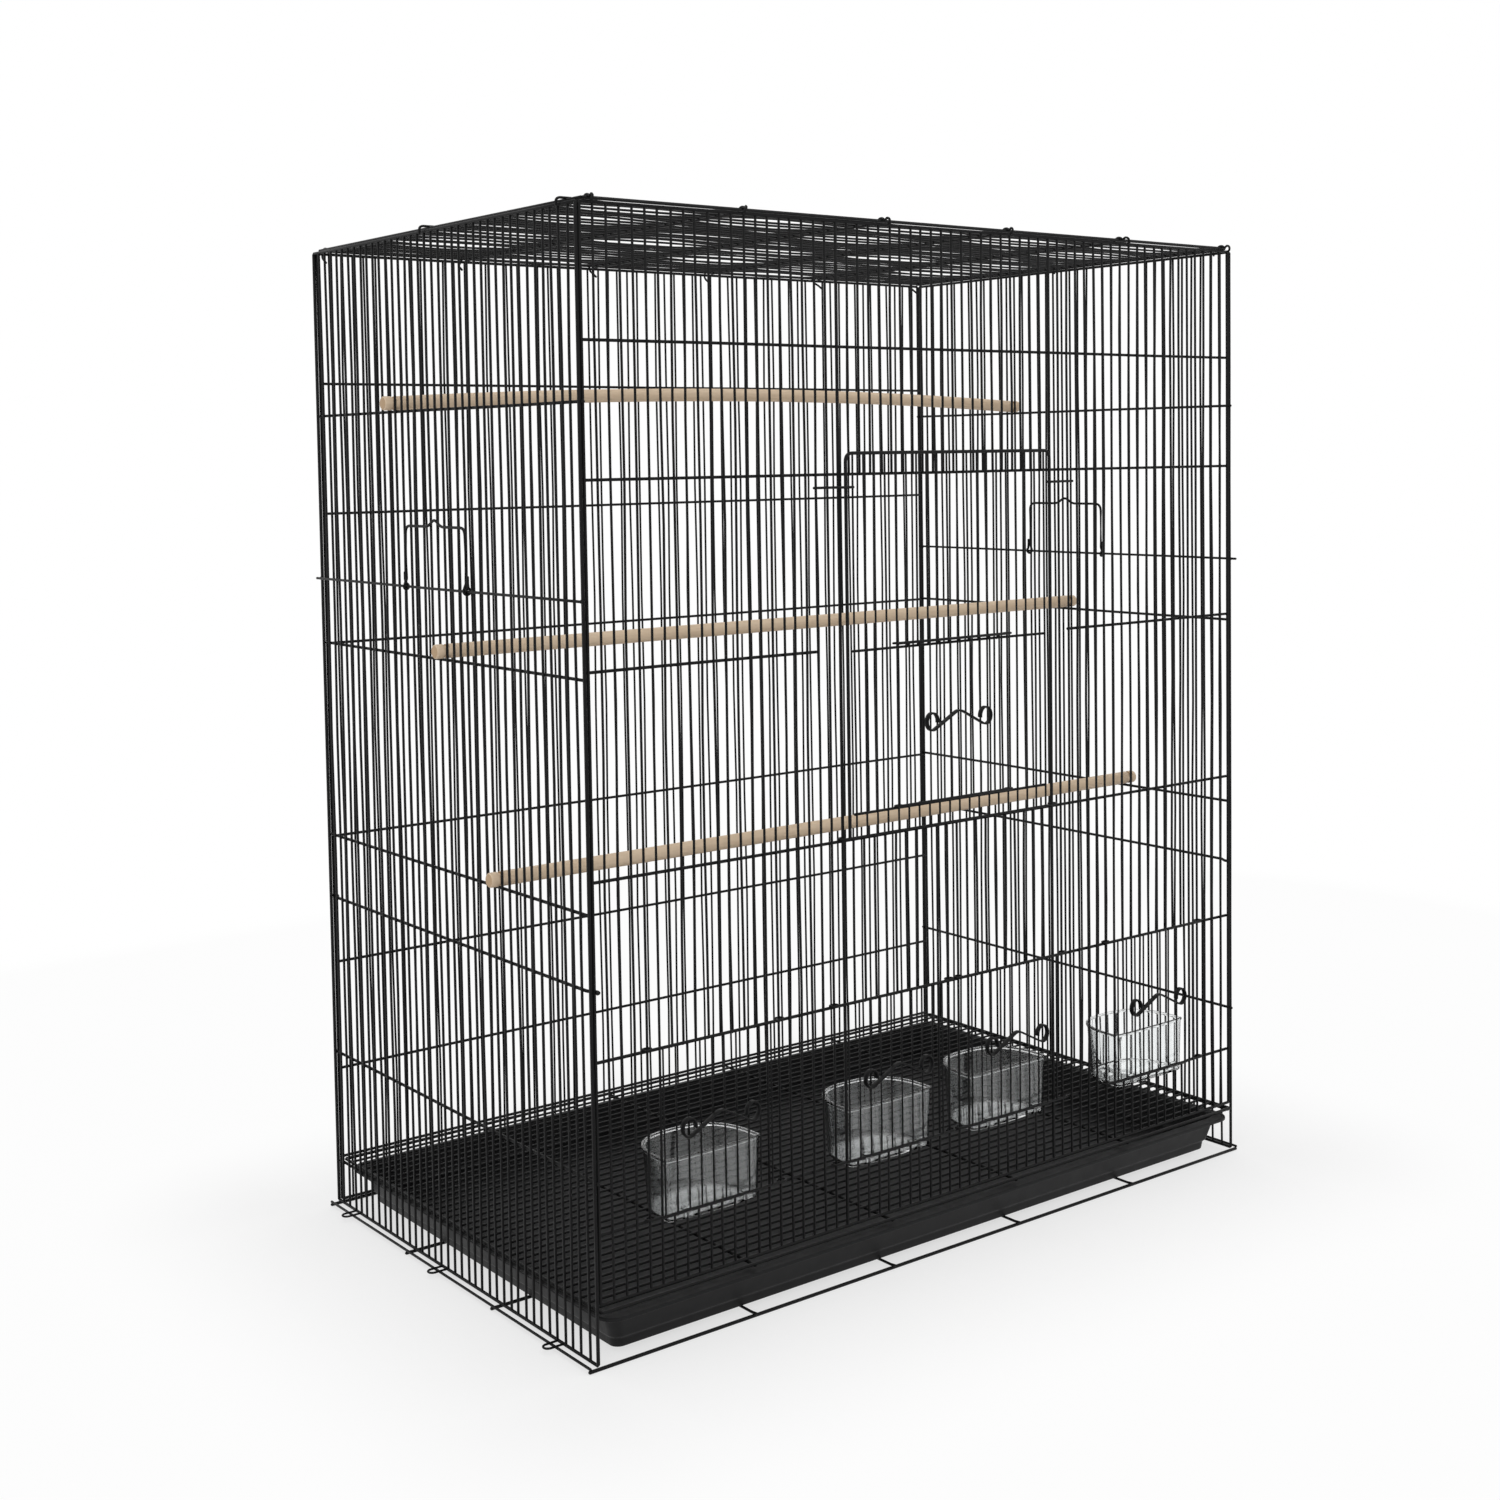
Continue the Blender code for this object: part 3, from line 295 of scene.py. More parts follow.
def math(tree, operation, first, second=0.0, clamp=False):
    node = addNode(tree, "ShaderNodeMath", {"operation": operation, "use_clamp": clamp})
    feed(tree, node.inputs, (first, second))
    return node.outputs[0]


def scaled(tree, value, factor, offset, clamp=False):
    return math(tree, "ADD", math(tree, "MULTIPLY", value, factor), offset, clamp)


def mixed(tree, share, low, high):
    # a colour mix has its factor at input 0, its colours at 6 and 7, and its result at output 2
    node = addNode(tree, "ShaderNodeMix", {"data_type": "RGBA"})
    feed(tree, [node.inputs[place] for place in (0, 6, 7)], (share, low, high))
    return node.outputs[2]


def objectPlace(tree):
    return addNode(tree, "ShaderNodeTexCoord").outputs["Object"]


def stretched(tree, place, scale):
    return addNode(tree, "ShaderNodeMapping", Vector=place, Scale=scale).outputs["Vector"]


def noise(tree, place, detail, scale=1.0, **more):
    return addNode(tree, "ShaderNodeTexNoise", Vector=place, Scale=scale, Detail=detail, **more).outputs["Fac"]


def newGroup(name, inputs, outputs):
    group = bpy.data.node_groups.new(name, "ShaderNodeTree")
    for way, keys in (("INPUT", inputs), ("OUTPUT", outputs)):
        for key in keys:
            group.interface.new_socket(key, in_out=way, socket_type="NodeSocketFloat")
    return group, group.nodes.new("NodeGroupInput").outputs, group.nodes.new("NodeGroupOutput").inputs


def useGroup(tree, group, **inputs):
    return addNode(tree, "ShaderNodeGroup", {"node_tree": group}, **inputs).outputs


def dustFilm(gain=1.6, less=0.35, least=0.12):
    # fine dust: thickest on faces that look up, broken up by a soft noise
    group, given, result = newGroup("dustFilm", ["Amount", "Patch Size"], ["Mask"])
    scale = math(group, "DIVIDE", 1.0, given["Patch Size"])
    cloud = noise(group, objectPlace(group), 4.0, scale, Roughness=0.6)
    normal = addNode(group, "ShaderNodeNewGeometry").outputs["Normal"]
    rise = addNode(group, "ShaderNodeSeparateXYZ", Vector=normal).outputs["Z"]
    upward = math(group, "POWER", math(group, "MAXIMUM", rise, 0.0), 2.0)
    patches = scaled(group, cloud, gain, -less, True)
    mask = math(group, "MULTIPLY", math(group, "ADD", upward, least), patches)
    feed(group, result, [math(group, "MULTIPLY", mask, given["Amount"], True)])
    return group


def surfaceGrain(fineShare=0.7):
    # a coated or moulded skin's height: a fine noise over a coarser one, which is also its tone
    group, given, result = newGroup("surfaceGrain", ["Fine Size", "Coarse Size"], ["Height", "Tone"])
    fine, coarse = (noise(group, objectPlace(group), detail, math(group, "DIVIDE", 1.0, given[name]))
                    for name, detail in (("Fine Size", 2.0), ("Coarse Size", 3.0)))
    height = scaled(group, fine, fineShare, math(group, "MULTIPLY", coarse, 1 - fineShare))
    feed(group, result, (height, coarse))
    return group


dustGroup, grainGroup = dustFilm(), surfaceGrain()


def newMaterial(name, **inputs):
    material = bpy.data.materials.new(name)
    material.use_nodes = True
    tree = material.node_tree
    shader = tree.nodes["Principled BSDF"]
    dress(tree, shader, **inputs)
    return material, tree, shader


def bump(tree, height, strength, distance):
    return addNode(tree, "ShaderNodeBump", Height=height, Strength=strength, Distance=distance).outputs["Normal"]


powder = {
    "colour": (0.0048, 0.0048, 0.0052, 1), "dulled": (0.04, 0.039, 0.037, 1), "specular": 0.14,
    "roughness": (0.38, 0.54), "dullRoughness": 0.25, "dust": (0.25, 0.018),
    "fine": 0.0009, "coarse": 0.004, "depth": 0.00005,
}
trayFinish = {
    "colour": (0.006, 0.006, 0.0064, 1), "dulled": (0.026, 0.026, 0.027, 1), "specular": 0.18,
    "roughness": (0.36, 0.58), "dullRoughness": 0.2, "dust": (0.12, 0.03),
    "fine": 0.0005, "coarse": 0.012, "depth": 0.00004,
    "scuffScale": (6.0, 320.0, 60.0), "scuffFrom": 0.58, "scuffGain": 2.2, "scuffShare": 0.5,
}


def blackSkin(name, finish):
    # the grain's tone sets the roughness; dust, and long scuffs where there are any, dull it
    material, tree, shader = newMaterial(name, Specular_IOR_Level=finish["specular"])
    grain = useGroup(tree, grainGroup, Fine_Size=finish["fine"], Coarse_Size=finish["coarse"])
    amount, patch = finish["dust"]
    mask = useGroup(tree, dustGroup, Amount=amount, Patch_Size=patch)["Mask"]
    if "scuffScale" in finish:
        streaks = noise(tree, stretched(tree, objectPlace(tree), finish["scuffScale"]), 3.0)
        streaks = math(tree, "SUBTRACT", streaks, finish["scuffFrom"], True)
        scuff = math(tree, "MULTIPLY", streaks, finish["scuffGain"], True)
        mask = scaled(tree, scuff, finish["scuffShare"], mask, True)
    low, high = finish["roughness"]
    rough = scaled(tree, mask, finish["dullRoughness"], scaled(tree, grain["Tone"], high - low, low), True)
    dress(tree, shader, Base_Color=mixed(tree, mask, finish["colour"], finish["dulled"]), Roughness=rough,
          Normal=bump(tree, grain["Height"], 0.5, finish["depth"]))
    return material


cupPlastic = {"colour": (0.97, 0.985, 0.985, 1), "fine": 0.009, "coarse": 0.03, "roughness": 0.03, "depth": 0.00004}


def clearPlastic():
    size = cupPlastic
    material, tree, shader = newMaterial("clearPlastic", Base_Color=size["colour"], Transmission_Weight=1.0, IOR=1.45)
    grain = useGroup(tree, grainGroup, Fine_Size=size["fine"], Coarse_Size=size["coarse"])
    dress(tree, shader, Roughness=math(tree, "MULTIPLY", grain["Tone"], size["roughness"]),
          Normal=bump(tree, grain["Height"], 0.1, size["depth"]))
    return material


dowel = {
    "pale": (0.86, 0.69, 0.51, 1), "dark": (0.6, 0.42, 0.26, 1), "end": (0.46, 0.32, 0.19, 1),
    "fibreScale": (5.0, 260.0, 260.0), "bandScale": (3.0, 70.0, 70.0), "fibres": 0.9, "bands": 0.5, "less": 0.35,
    "ringSize": 0.0011, "ringShare": 0.3, "roughness": (0.45, 0.75), "depth": 0.0002,
}


def perchWood():
    # grain follows the place kept on the mesh as woodPlace: x along the dowel, y and z across it
    size = dowel
    material, tree, shader = newMaterial("perchWood", Specular_IOR_Level=0.3)
    place = addNode(tree, "ShaderNodeAttribute", {"attribute_name": "woodPlace"}).outputs["Vector"]
    fibres = noise(tree, stretched(tree, place, size["fibreScale"]), 6.0, Roughness=0.65)
    bands = noise(tree, stretched(tree, place, size["bandScale"]), 2.0, Distortion=0.6)
    axes = addNode(tree, "ShaderNodeSeparateXYZ", Vector=place).outputs
    squares = [math(tree, "MULTIPLY", axes[name], axes[name]) for name in "YZ"]
    radius = math(tree, "SQRT", math(tree, "ADD", *squares))
    ring = math(tree, "SINE", math(tree, "MULTIPLY", radius, 2 * np.pi / size["ringSize"]))
    normal = addNode(tree, "ShaderNodeNewGeometry").outputs["Normal"]
    along = addNode(tree, "ShaderNodeSeparateXYZ", Vector=normal).outputs["X"]
    isEnd = math(tree, "GREATER_THAN", math(tree, "ABSOLUTE", along), 0.7)
    tone = scaled(tree, fibres, size["fibres"], math(tree, "MULTIPLY", bands, size["bands"]))
    side = mixed(tree, math(tree, "SUBTRACT", tone, size["less"], True), size["pale"], size["dark"])
    ends = mixed(tree, scaled(tree, ring, size["ringShare"], 0.5, True), size["end"], size["dark"])
    low, high = size["roughness"]
    dress(tree, shader, Base_Color=mixed(tree, isEnd, side, ends), Roughness=scaled(tree, fibres, high - low, low),
          Normal=bump(tree, fibres, 0.5, size["depth"]))
    return material


black, trayBlack = blackSkin("powderBlack", powder), blackSkin("trayPlastic", trayFinish)
clear, wood = clearPlastic(), perchWood()
print("materials ready")


def newObject(name, data):
    thing = bpy.data.objects.new(name, data)
    bpy.context.scene.collection.objects.link(thing)
    return thing


def makePiece(name, parts, replaced, body="cage", material=black, sharp=50):
    corners, faces, start = [], [], 0
    for rows, quads, caps in parts:
        corners += rows.tolist()
        faces += (quads + start).tolist() + (caps + start).tolist()
        start += len(rows)
    mesh = bpy.data.meshes.new(name)
    mesh.from_pydata(corners, [], faces)
    mesh.shade_smooth()
    mesh.set_sharp_from_angle(angle=np.radians(sharp))
    mesh.materials.append(material)
    piece = newObject(name, mesh)
    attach(piece, body)
    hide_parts(*replaced)
    print("made", name, len(faces), "faces")
    return piece


# front panel: one welded lattice with five doorways

frontPanel = {
    "foot": 0.052, "sill": 0.1066, "feederTop": 0.2433, "bandTop": 0.3845, "short": 0.548,
    "doorwayTop": 0.696, "high": 0.8031,
    "guides": (21, 42), "feeders": ((5, 14), (21, 30), (33, 42), (49, 58)), "shortEnd": 19, "seed": 11,
    "sillStep": (0.001, 0.008), "sillBend": 0.005,  # the step starts outside a doorway's side wire, ends inside
}


def makeFrontPanel():
    size, last, half, lap = frontPanel, cage["frontGaps"], cage["frontHalf"], wire["lap"]
    doorways = [(pair, size["sill"], size["feederTop"]) for pair in size["feeders"]]
    doorways.append((size["guides"], size["bandTop"], size["doorwayTop"]))
    index, low, high = brokenRuns(range(last + 1), size["foot"], cage["topRail"], doorways)
    thick = {0, last, *size["guides"]}
    calm = thick.union(*({first - 1, first, end, end + 1} for first, end in size["feeders"]))
    bow = np.where(np.isin(index, list(calm)), wire["calmBow"], wire["bow"])
    radius = np.where(np.isin(index, list(thick)), wire["edge"], wire["thin"])
    runs = wireRuns(frontX(index), low, high, radius, bow, size["seed"], index)
    bars = rowsAt(half, size["feederTop"], size["bandTop"], size["doorwayTop"], size["high"])
    bars += [(size["short"], -half, frontX(size["shortEnd"])), (size["short"], frontX(last - size["shortEnd"]), half)]
    parts = lattice(front, runs, bars, rowsAt(half, size["foot"], cage["topRail"]))
    sill = [(-half, lap)]  # the sill wire steps out to the uprights' plane under each cup
    outside, inside = size["sillStep"]
    for first, end in size["feeders"]:
        low, high = frontX(first), frontX(end)
        sill += [(low - outside, lap), (low + inside, 0.0), (high - inside, 0.0), (high + outside, lap)]
    sill = np.array(sill + [(half, lap)]).T
    parts.append(bentWire(front, (*sill, size["sill"]), size["sillBend"], wire["rail"]))
    nodes = [f"front_post_{k}" for k in range(1, 6)] + [f"front_sill_{k}" for k in range(1, 5)]
    nodes += [f"front_{name}_grille" for name in ("left", "right", "middle", "upper")]
    makePiece("frontPanel", parts, nodes)


makeFrontPanel()

# back panel

backPanel = {"heights": (0.047, 0.133, 0.2362, 0.3572, 0.5413, 0.664, 0.7862), "seed": 12}


def makeBackPanel():
    half, places = cage["frontHalf"], frontX(np.arange(cage["frontGaps"] + 1))
    runs = fullRuns(places, *panelEnds, backPanel["seed"])
    parts = lattice(back, runs, rowsAt(half, *backPanel["heights"]), rowsAt(half, *panelEnds))
    makePiece("backPanel", parts, ["back_panel"])


makeBackPanel()

# end panels, hooked round the corner wires, each with the wire that carries its handle

endPanel = {
    "runner": 0.0434, "lowest": 0.149, "hooked": 0.2993, "perches": (0.3592, 0.5423, 0.7558), "handle": 0.6032,
    "handleReach": 0.006, "handleFace": -0.0029, "handleWire": 0.0012, "handleWeld": 0.002, "handleBead": 1.2,
    "nub": 0.004, "calm": (11, 12, 18, 19, 25, 26), "seeds": {"left": 12, "right": 14},
    "cornerHook": ((0.22, wire["lap"]), (0.2253, 0.0058), (0.2288, 0.0068), (0.2317, 0.0054), (0.2317, 0.0028)),
    "hookBend": 0.002,
}


def makeEndPanel(name, panel, side):
    size, half, hook = endPanel, halfDepth, np.array(endPanel["cornerHook"])
    across = side * (-half + np.arange(cage["sideGaps"] + 1) * sidePitch)  # from the front
    runs = fullRuns(across, *panelEnds, size["seeds"][name], size["calm"])
    low, middle, high = size["perches"]
    bars = rowsAt(half - wire["bar"], size["runner"], low, middle) + rowsAt(half + size["nub"], size["lowest"], high)
    parts = lattice(panel, runs, bars, rowsAt(half, *panelEnds))
    line = np.concatenate([hook[::-1] * (-1, 1), hook]).T
    parts.append(bentWire(panel, (*line, size["hooked"]), size["hookBend"], wire["cross"]))
    parts += weldBeads(panel, runs, rowsAt(half - sidePitch, size["hooked"]), wire["lap"])
    height, weld = size["handle"], half - size["handleWeld"]
    rows = rowsAt(half + size["handleReach"], height)
    parts.append(crossWires(panel, rows, size["handleFace"], size["handleWire"]))
    rows = [(height, -half, -weld), (height, weld, half)]
    parts += weldBeads(panel, runs, rows, size["handleFace"], size["handleBead"])
    makePiece(name + "EndPanel", parts, [name + "_side_panel", "handle_wire_" + name])


makeEndPanel("left", left, -1)
makeEndPanel("right", right, 1)

# roof: lengthwise wires on cross wires whose ends curl down over the front and back top rails

roofPanel = {
    "end": 0.3751, "crossEnd": 0.3699, "crossCount": 6, "thin": 0.00105, "bow": 0.0007, "seed": 21,
    "sag": 0.0014, "mostSag": 0.0022,  # how far a wire strays up or down between two welds
    # a curl's points: from the middle, above the roof, and share of the way to the gap between two uprights
    "frontCurl": ((-0.2205, -0.00195, 0.0), (-0.2252, 0.0023, 0.0), (-0.2292, 0.0025, 0.0), (-0.2322, 0.0002, 0.1),
                  (-0.2346, 0.0025, 0.3), (-0.2372, 0.0012, 0.5), (-0.2374, -0.0014, 0.7), (-0.2358, -0.0033, 0.9),
                  (-0.2334, -0.0032, 1.0)),
    "backCurl": ((0.2205, -0.00195, 0.0), (0.2252, 0.0023, 0.0), (0.23, 0.0022, 0.0), (0.2322, -0.001, 0.1),
                 (0.2318, -0.0048, 0.5), (0.2285, -0.0074, 1.0), (0.2215, -0.0118, 1.0)),
    "curlBend": 0.0016,
    "sidePlaces": (0.022, 0.242),  # from the front
    "sideHook": ((0.37, 0.0017), (0.3818, 0.0017), (0.3842, 0.0002), (0.3844, -0.0052)), "sideBend": 0.0022,
}


def roofWires(across, radius, bow):
    # between two welds a wire strays by a sin(s) + b sin(s)^2, where s runs from 0 to pi from weld to weld
    size, most = roofPanel, roofPanel["mostSag"] / 2
    draw = np.random.default_rng(size["seed"])
    phases = draw.uniform(0, 2 * np.pi, (len(across), 3))
    first, second = np.clip(draw.normal(0, size["sag"], (2, len(across), 1)), -most, most)
    w = size["end"] * np.linspace(-1, 1, 6 * size["crossCount"] + 1)[None]
    turn = np.pi * (w + size["crossEnd"]) / (2 * size["crossEnd"]) * (size["crossCount"] - 1)
    rise = first * np.sin(turn) + second * np.sin(turn) ** 2
    rise[bow < size["bow"]] = 0  # the corner wires stay level
    w = np.broadcast_to(w, rise.shape)
    u = across[:, None] + sway(w, phases, bow[:, None])
    return tubes(onPanel(roof, u, rise, w), radius[:, None], roof["inward"], 6), phases


def makeRoof():
    size, half = roofPanel, halfDepth
    index = np.arange(cage["sideGaps"] + 1)
    corner = np.isin(index, (0, cage["sideGaps"]))
    across = -half + index * sidePitch
    bow = np.where(corner, wire["leastBow"], size["bow"])
    wires, phases = roofWires(across, np.where(corner, wire["edge"], size["thin"]), bow)
    end = np.full(len(across), size["end"])
    runs = {"across": across, "low": -end, "high": end, "bow": bow, "phases": phases}
    parts = [wires, crossWires(roof, rowsAt(half, -size["end"], size["end"]), 0.0, wire["rail"])]
    places = size["crossEnd"] * np.linspace(-1, 1, size["crossCount"])
    curls = np.array(size["frontCurl"][::-1] + size["backCurl"])
    gap = np.floor((places + cage["frontHalf"]) / frontPitch) + 0.5
    x = places[:, None] + (frontX(gap) - places)[:, None] * curls[:, 2]
    line = curls[:, 0], curls[:, 1], x
    parts.append(bentWire(roof, line, size["curlBend"], wire["bar"], roof["up"]))
    parts += weldBeads(roof, runs, rowsAt(half - sidePitch, *places), -wire["lap"])
    hook = np.array(size["sideHook"])
    for side in (-1, 1):
        for place in size["sidePlaces"]:
            line = place - half, hook[:, 1], side * hook[:, 0]
            parts.append(bentWire(roof, line, size["sideBend"], wire["bar"], roof["across"]))
    makePiece("roofPanel", parts, ["top_panel"])


makeRoof()

# base grid: long wires on the floor, cross wires over them, hairpins from the end panels over the end wires

baseGrid = {
    "end": 0.3886, "longCount": 4, "crossCount": 6, "long": 0.0015, "cross": 0.0012, "crossHeight": 0.0041,
    "past": 0.0015, "nose": 0.0035, "noseLength": 0.006, "noseRise": 0.0008, "backGap": 0.0016, "bend": 0.003,
    "loopPlaces": (0.11, 0.53, 0.9), "loop": 0.00095, "loopHalf": 0.0042, "loopReach": 0.009,
    "loopHeight": 0.0049, "loopRoot": 0.001,
}


def crossLine(side):
    # the outer two end past the long wires; the inner four in a nose at the front and short of the back wire
    size, height = baseGrid, baseGrid["crossHeight"]
    outer = abs(side) == 1
    x = side * (size["end"] if outer else halfWidth)
    low = frontY - size["past"] - (0 if outer else size["nose"])
    high = backY + (size["past"] if outer else -size["backGap"])
    tip = height + (0 if outer else size["noseRise"])
    return [(x, low, tip), (x, low + size["noseLength"], height), (x, (low + high) / 2, height), (x, high, height)]


def hairpin(side, place):
    # out from the end panel, half round a circle and back
    size, half, root = baseGrid, baseGrid["loopHalf"], halfWidth - baseGrid["loopRoot"]
    middle = frontY + (round(place * cage["sideGaps"]) + 0.5) * sidePitch
    turn = np.linspace(-0.5, 0.5, 9) * np.pi
    out = np.concatenate([[root], size["end"] + size["loopReach"] - half + half * np.cos(turn), [root]])
    off = half * np.concatenate([[-1], np.sin(turn), [1]])
    return points(side * out, middle + off, size["loopHeight"])


def makeBase():
    size = baseGrid
    x = (size["end"] + size["cross"]) * (2 * np.linspace(0, 1, 7) - 1)
    paths = [points(x, y, size["long"]) for y in frontY + cage["depth"] * np.linspace(0, 1, size["longCount"])]
    parts = [tubes(paths, size["long"], sides=10)]
    for side in np.linspace(-1, 1, size["crossCount"]):
        parts.append(tubes(rounded(crossLine(side), size["bend"]), size["cross"], (1, 0, 0)))
        if abs(side) == 1:
            parts += [tubes(hairpin(side, place), size["loop"]) for place in size["loopPlaces"]]
    nodes = [f"base_long_wire_{k}" for k in range(1, 5)] + [f"base_cross_wire_{k}" for k in range(1, 7)]
    makePiece("baseGrid", parts, nodes)


makeBase()

# slide-out wire floor

floorGrille = {"front": -0.2305, "back": 0.21945, "rail": 0.3776, "gaps": 37, "bars": 4, "bow": 0.0005, "seed": 31}


def makeWireFloor():
    size, low, high, end = floorGrille, floorGrille["front"], floorGrille["back"], floorGrille["rail"]
    across = np.linspace(low, high, size["gaps"] + 1)
    runs = fullRuns(across, -end, end, size["seed"], bow=(size["bow"], wire["leastBow"]))
    bars = [(place, low, high) for place in end * np.linspace(-1, 1, size["bars"] + 2)[1:-1]]
    rails = [(-end, low, high), (end, low, high)]
    makePiece("wireFloor", lattice(floor, runs, bars, rails), ["floor_grille"], "wire_floor")


makeWireFloor()

# litter tray: rounded rectangles up the outside, over the flange and down the inside

tray = {
    "half": 0.3755, "front": -0.23085, "back": 0.2222, "floor": 0.006, "height": 0.0338,
    "wall": 0.002, "flange": 0.009, "flangeDrop": 0.003, "taper": 0.0065, "stepHeight": 0.011, "step": 0.0025,
    "footSteps": 1.5, "floorRing": 0.02,  # the foot's place in steps, and the floor's first ring from it
    "bend": 0.0012, "flangeBend": 0.0005, "corner": 0.016, "cornerLess": 0.4, "cornerSteps": 7,
}


def roundedRectangle(low, high, radius, steps):
    # quarter circles about the four corner centres, anticlockwise from the far right
    turn = np.linspace(0, 0.5, steps + 1)[None] + np.arange(4)[:, None] * 0.5
    centre = np.array([(high[0], high[1]), (low[0], high[1]), (low[0], low[1]), (high[0], low[1])])
    centre = centre + np.array([(-1, -1), (1, -1), (1, 1), (-1, 1)]) * radius
    x = centre[:, :1] + radius * np.cos(np.pi * turn)
    y = centre[:, 1:] + radius * np.sin(np.pi * turn)
    return points(x.ravel(), y.ravel())


def trayProfile():
    # (inset, height) up the outside to the flange, then down the inside
    size = tray
    base, top, wall, flange = size["floor"], size["floor"] + size["height"], size["wall"], size["flange"]
    ledge, skirt, step = base + size["stepHeight"], top - size["flangeDrop"], size["step"]
    foot, ring = step * size["footSteps"], size["floorRing"]
    outside, inside = flange + size["taper"], flange + wall + size["taper"]
    under = [(outside + foot + ring, base), (outside + foot, base), (outside + step, ledge - wall * 1.5),
             (outside, ledge - wall * 0.5), (flange, top - wall), (wall, top - wall), (wall, skirt)]
    over = [(0, skirt), (0, top), (flange + wall, top), (inside, ledge), (inside + step, ledge - wall),
            (inside + foot, base + wall), (inside + foot + ring, base + wall)]
    bends = [size["bend"]] * 5 + [size["flangeBend"]] * 2 + [size["bend"]] * 5
    return rounded(under + over, bends)


def makeTray():
    size, rings = tray, []
    for inset, height in trayProfile():
        low = (-size["half"] + inset, size["front"] + inset)
        high = (size["half"] - inset, size["back"] - inset)
        ring = roundedRectangle(low, high, size["corner"] - size["cornerLess"] * inset, size["cornerSteps"])
        rings.append(points(*ring.T, height))
    nodes = ["litter_tray", "litter_tray_floor"]
    makePiece("litterTray", [skin(np.array([rings]))], nodes, "tray", trayBlack, 35)


makeTray()

# doors

scroll = {
    "width": 0.078, "height": 0.017, "strip": 0.005, "thick": 0.0014, "curl": 0.0064, "oval": 1.2,
    "start": 190, "turn": 308, "peak": 0.005, "peakRise": 0.0006, "standOff": 0.0036, "sharp": 60,
}
eye = {
    "tip": 0.0048, "shoulder": 0.0026, "gap": 0.0003, "closing": (0.8, 0.25), "bend": 0.0022,
    "rootReach": 0.001, "rootFace": 0.9,  # how far past its ends, and how near its face, the rail stays thick
}


def scrollPart(x, y, z):
    # a flat strip: an oval curl, a straight arm to a round middle peak, and the same mirrored
    size = scroll
    edge, tall = size["thick"] / 2, size["curl"] * size["oval"]
    turn = np.radians(size["start"] - size["turn"] * np.linspace(0, 1, 25))
    centre = size["width"] / 2 - size["curl"] - edge, tall + edge - size["height"] / 2
    curl = points(centre[0] + size["curl"] * np.cos(turn), centre[1] + tall * np.sin(turn))
    top = size["height"] / 2 - edge + size["peakRise"]
    peak = rounded([curl[-1], (0, top), curl[-1] * (-1, 1)], size["peak"], 8)[1:-1]
    line = np.concatenate([curl, peak, curl[::-1] * (-1, 1)])
    path = points(x + line[:, 0], y, z + line[:, 1])
    return sweep(path, stripOutline(size["strip"], size["thick"]), (0, 1, 0))


def eyedRail(u0, u1, guide, face, height, middle):
    # a door rail whose ends pass in front of a guide wire, round its far side and back behind it
    behind = guide + eye["gap"] + wire["eye"]
    closing = -eye["tip"] * eye["closing"][0], face * eye["closing"][1]
    end = np.array([(eye["shoulder"], face), (eye["tip"], 0.0), (eye["shoulder"], behind),
                    (-eye["shoulder"], behind), closing])
    line = np.concatenate([(end * (-1, 1) + (u0, 0))[::-1], end + (u1, 0)])
    line = rounded(points(*line.T, height), eye["bend"], 4)
    straight = (line[:, 0] > u0 - eye["rootReach"]) & (line[:, 0] < u1 + eye["rootReach"])
    straight &= line[:, 1] < face * eye["rootFace"]
    return line, np.where(straight, middle, wire["eye"])


def makeLeaf(names, nodes, body, size, jambs, guide, plane, seed):
    # a small door with its pull: two rails with eyes on the guide wires in plane, and uprights between them
    u0, u1 = (float(frontX(index)) for index in jambs)
    parts = []
    for height in (size["low"], size["high"]):
        line, radius = eyedRail(u0, u1, guide, size["face"] - plane, height, size["rail"])
        parts.append(tubes(onPanel(front, line[:, 0], line[:, 1] + plane, height), radius))
    places = frontX(np.arange(jambs[0] + 1, jambs[1]))
    runs = wireRuns(places, size["low"], size["high"], wire["eyeUpright"], wire["calmBow"], seed)
    makePiece(names[0], parts + uprights(front, runs, size["wireFace"]), [nodes[0]], body)
    pull = scrollPart((u0 + u1) / 2, frontY + size["face"] - scroll["standOff"], (size["low"] + size["high"]) / 2)
    makePiece(names[1], [pull], [nodes[1]], body, sharp=scroll["sharp"])


feederDoor = {
    "low": 0.109, "high": 0.2457, "face": -0.0041, "wireFace": -0.0046, "rail": 0.0011, "seed": 40,
    "names": (("feederDoor", "feederPull"), ("feeder_door_", "feeder_scroll_")),
}


def makeFeederDoors():
    for number, (first, last) in enumerate(frontPanel["feeders"], 1):
        names, nodes = [[name + str(number) for name in pair] for pair in feederDoor["names"]]
        makeLeaf(names, nodes, f"feeder_hatch_{number}", feederDoor, (first - 1, last + 1), wire["thin"], 0.0,
                 feederDoor["seed"] + number)


makeFeederDoors()

mainDoor = {
    "face": -0.0044, "low": 0.3871, "top": 0.7138, "half": 0.1215, "corner": 0.0075,
    "eyeTip": 0.0058, "eyeStart": 0.0015, "eyeEnd": 0.0018, "eyeBend": 0.003,
    "windowLow": 0.4065, "windowHigh": 0.5462, "windowWires": (26, 37), "windowBar": 0.0012, "barFace": 0.0017,
    "barPast": 0.0012, "bead": 0.85, "bow": 0.0004, "seed": 51,
}


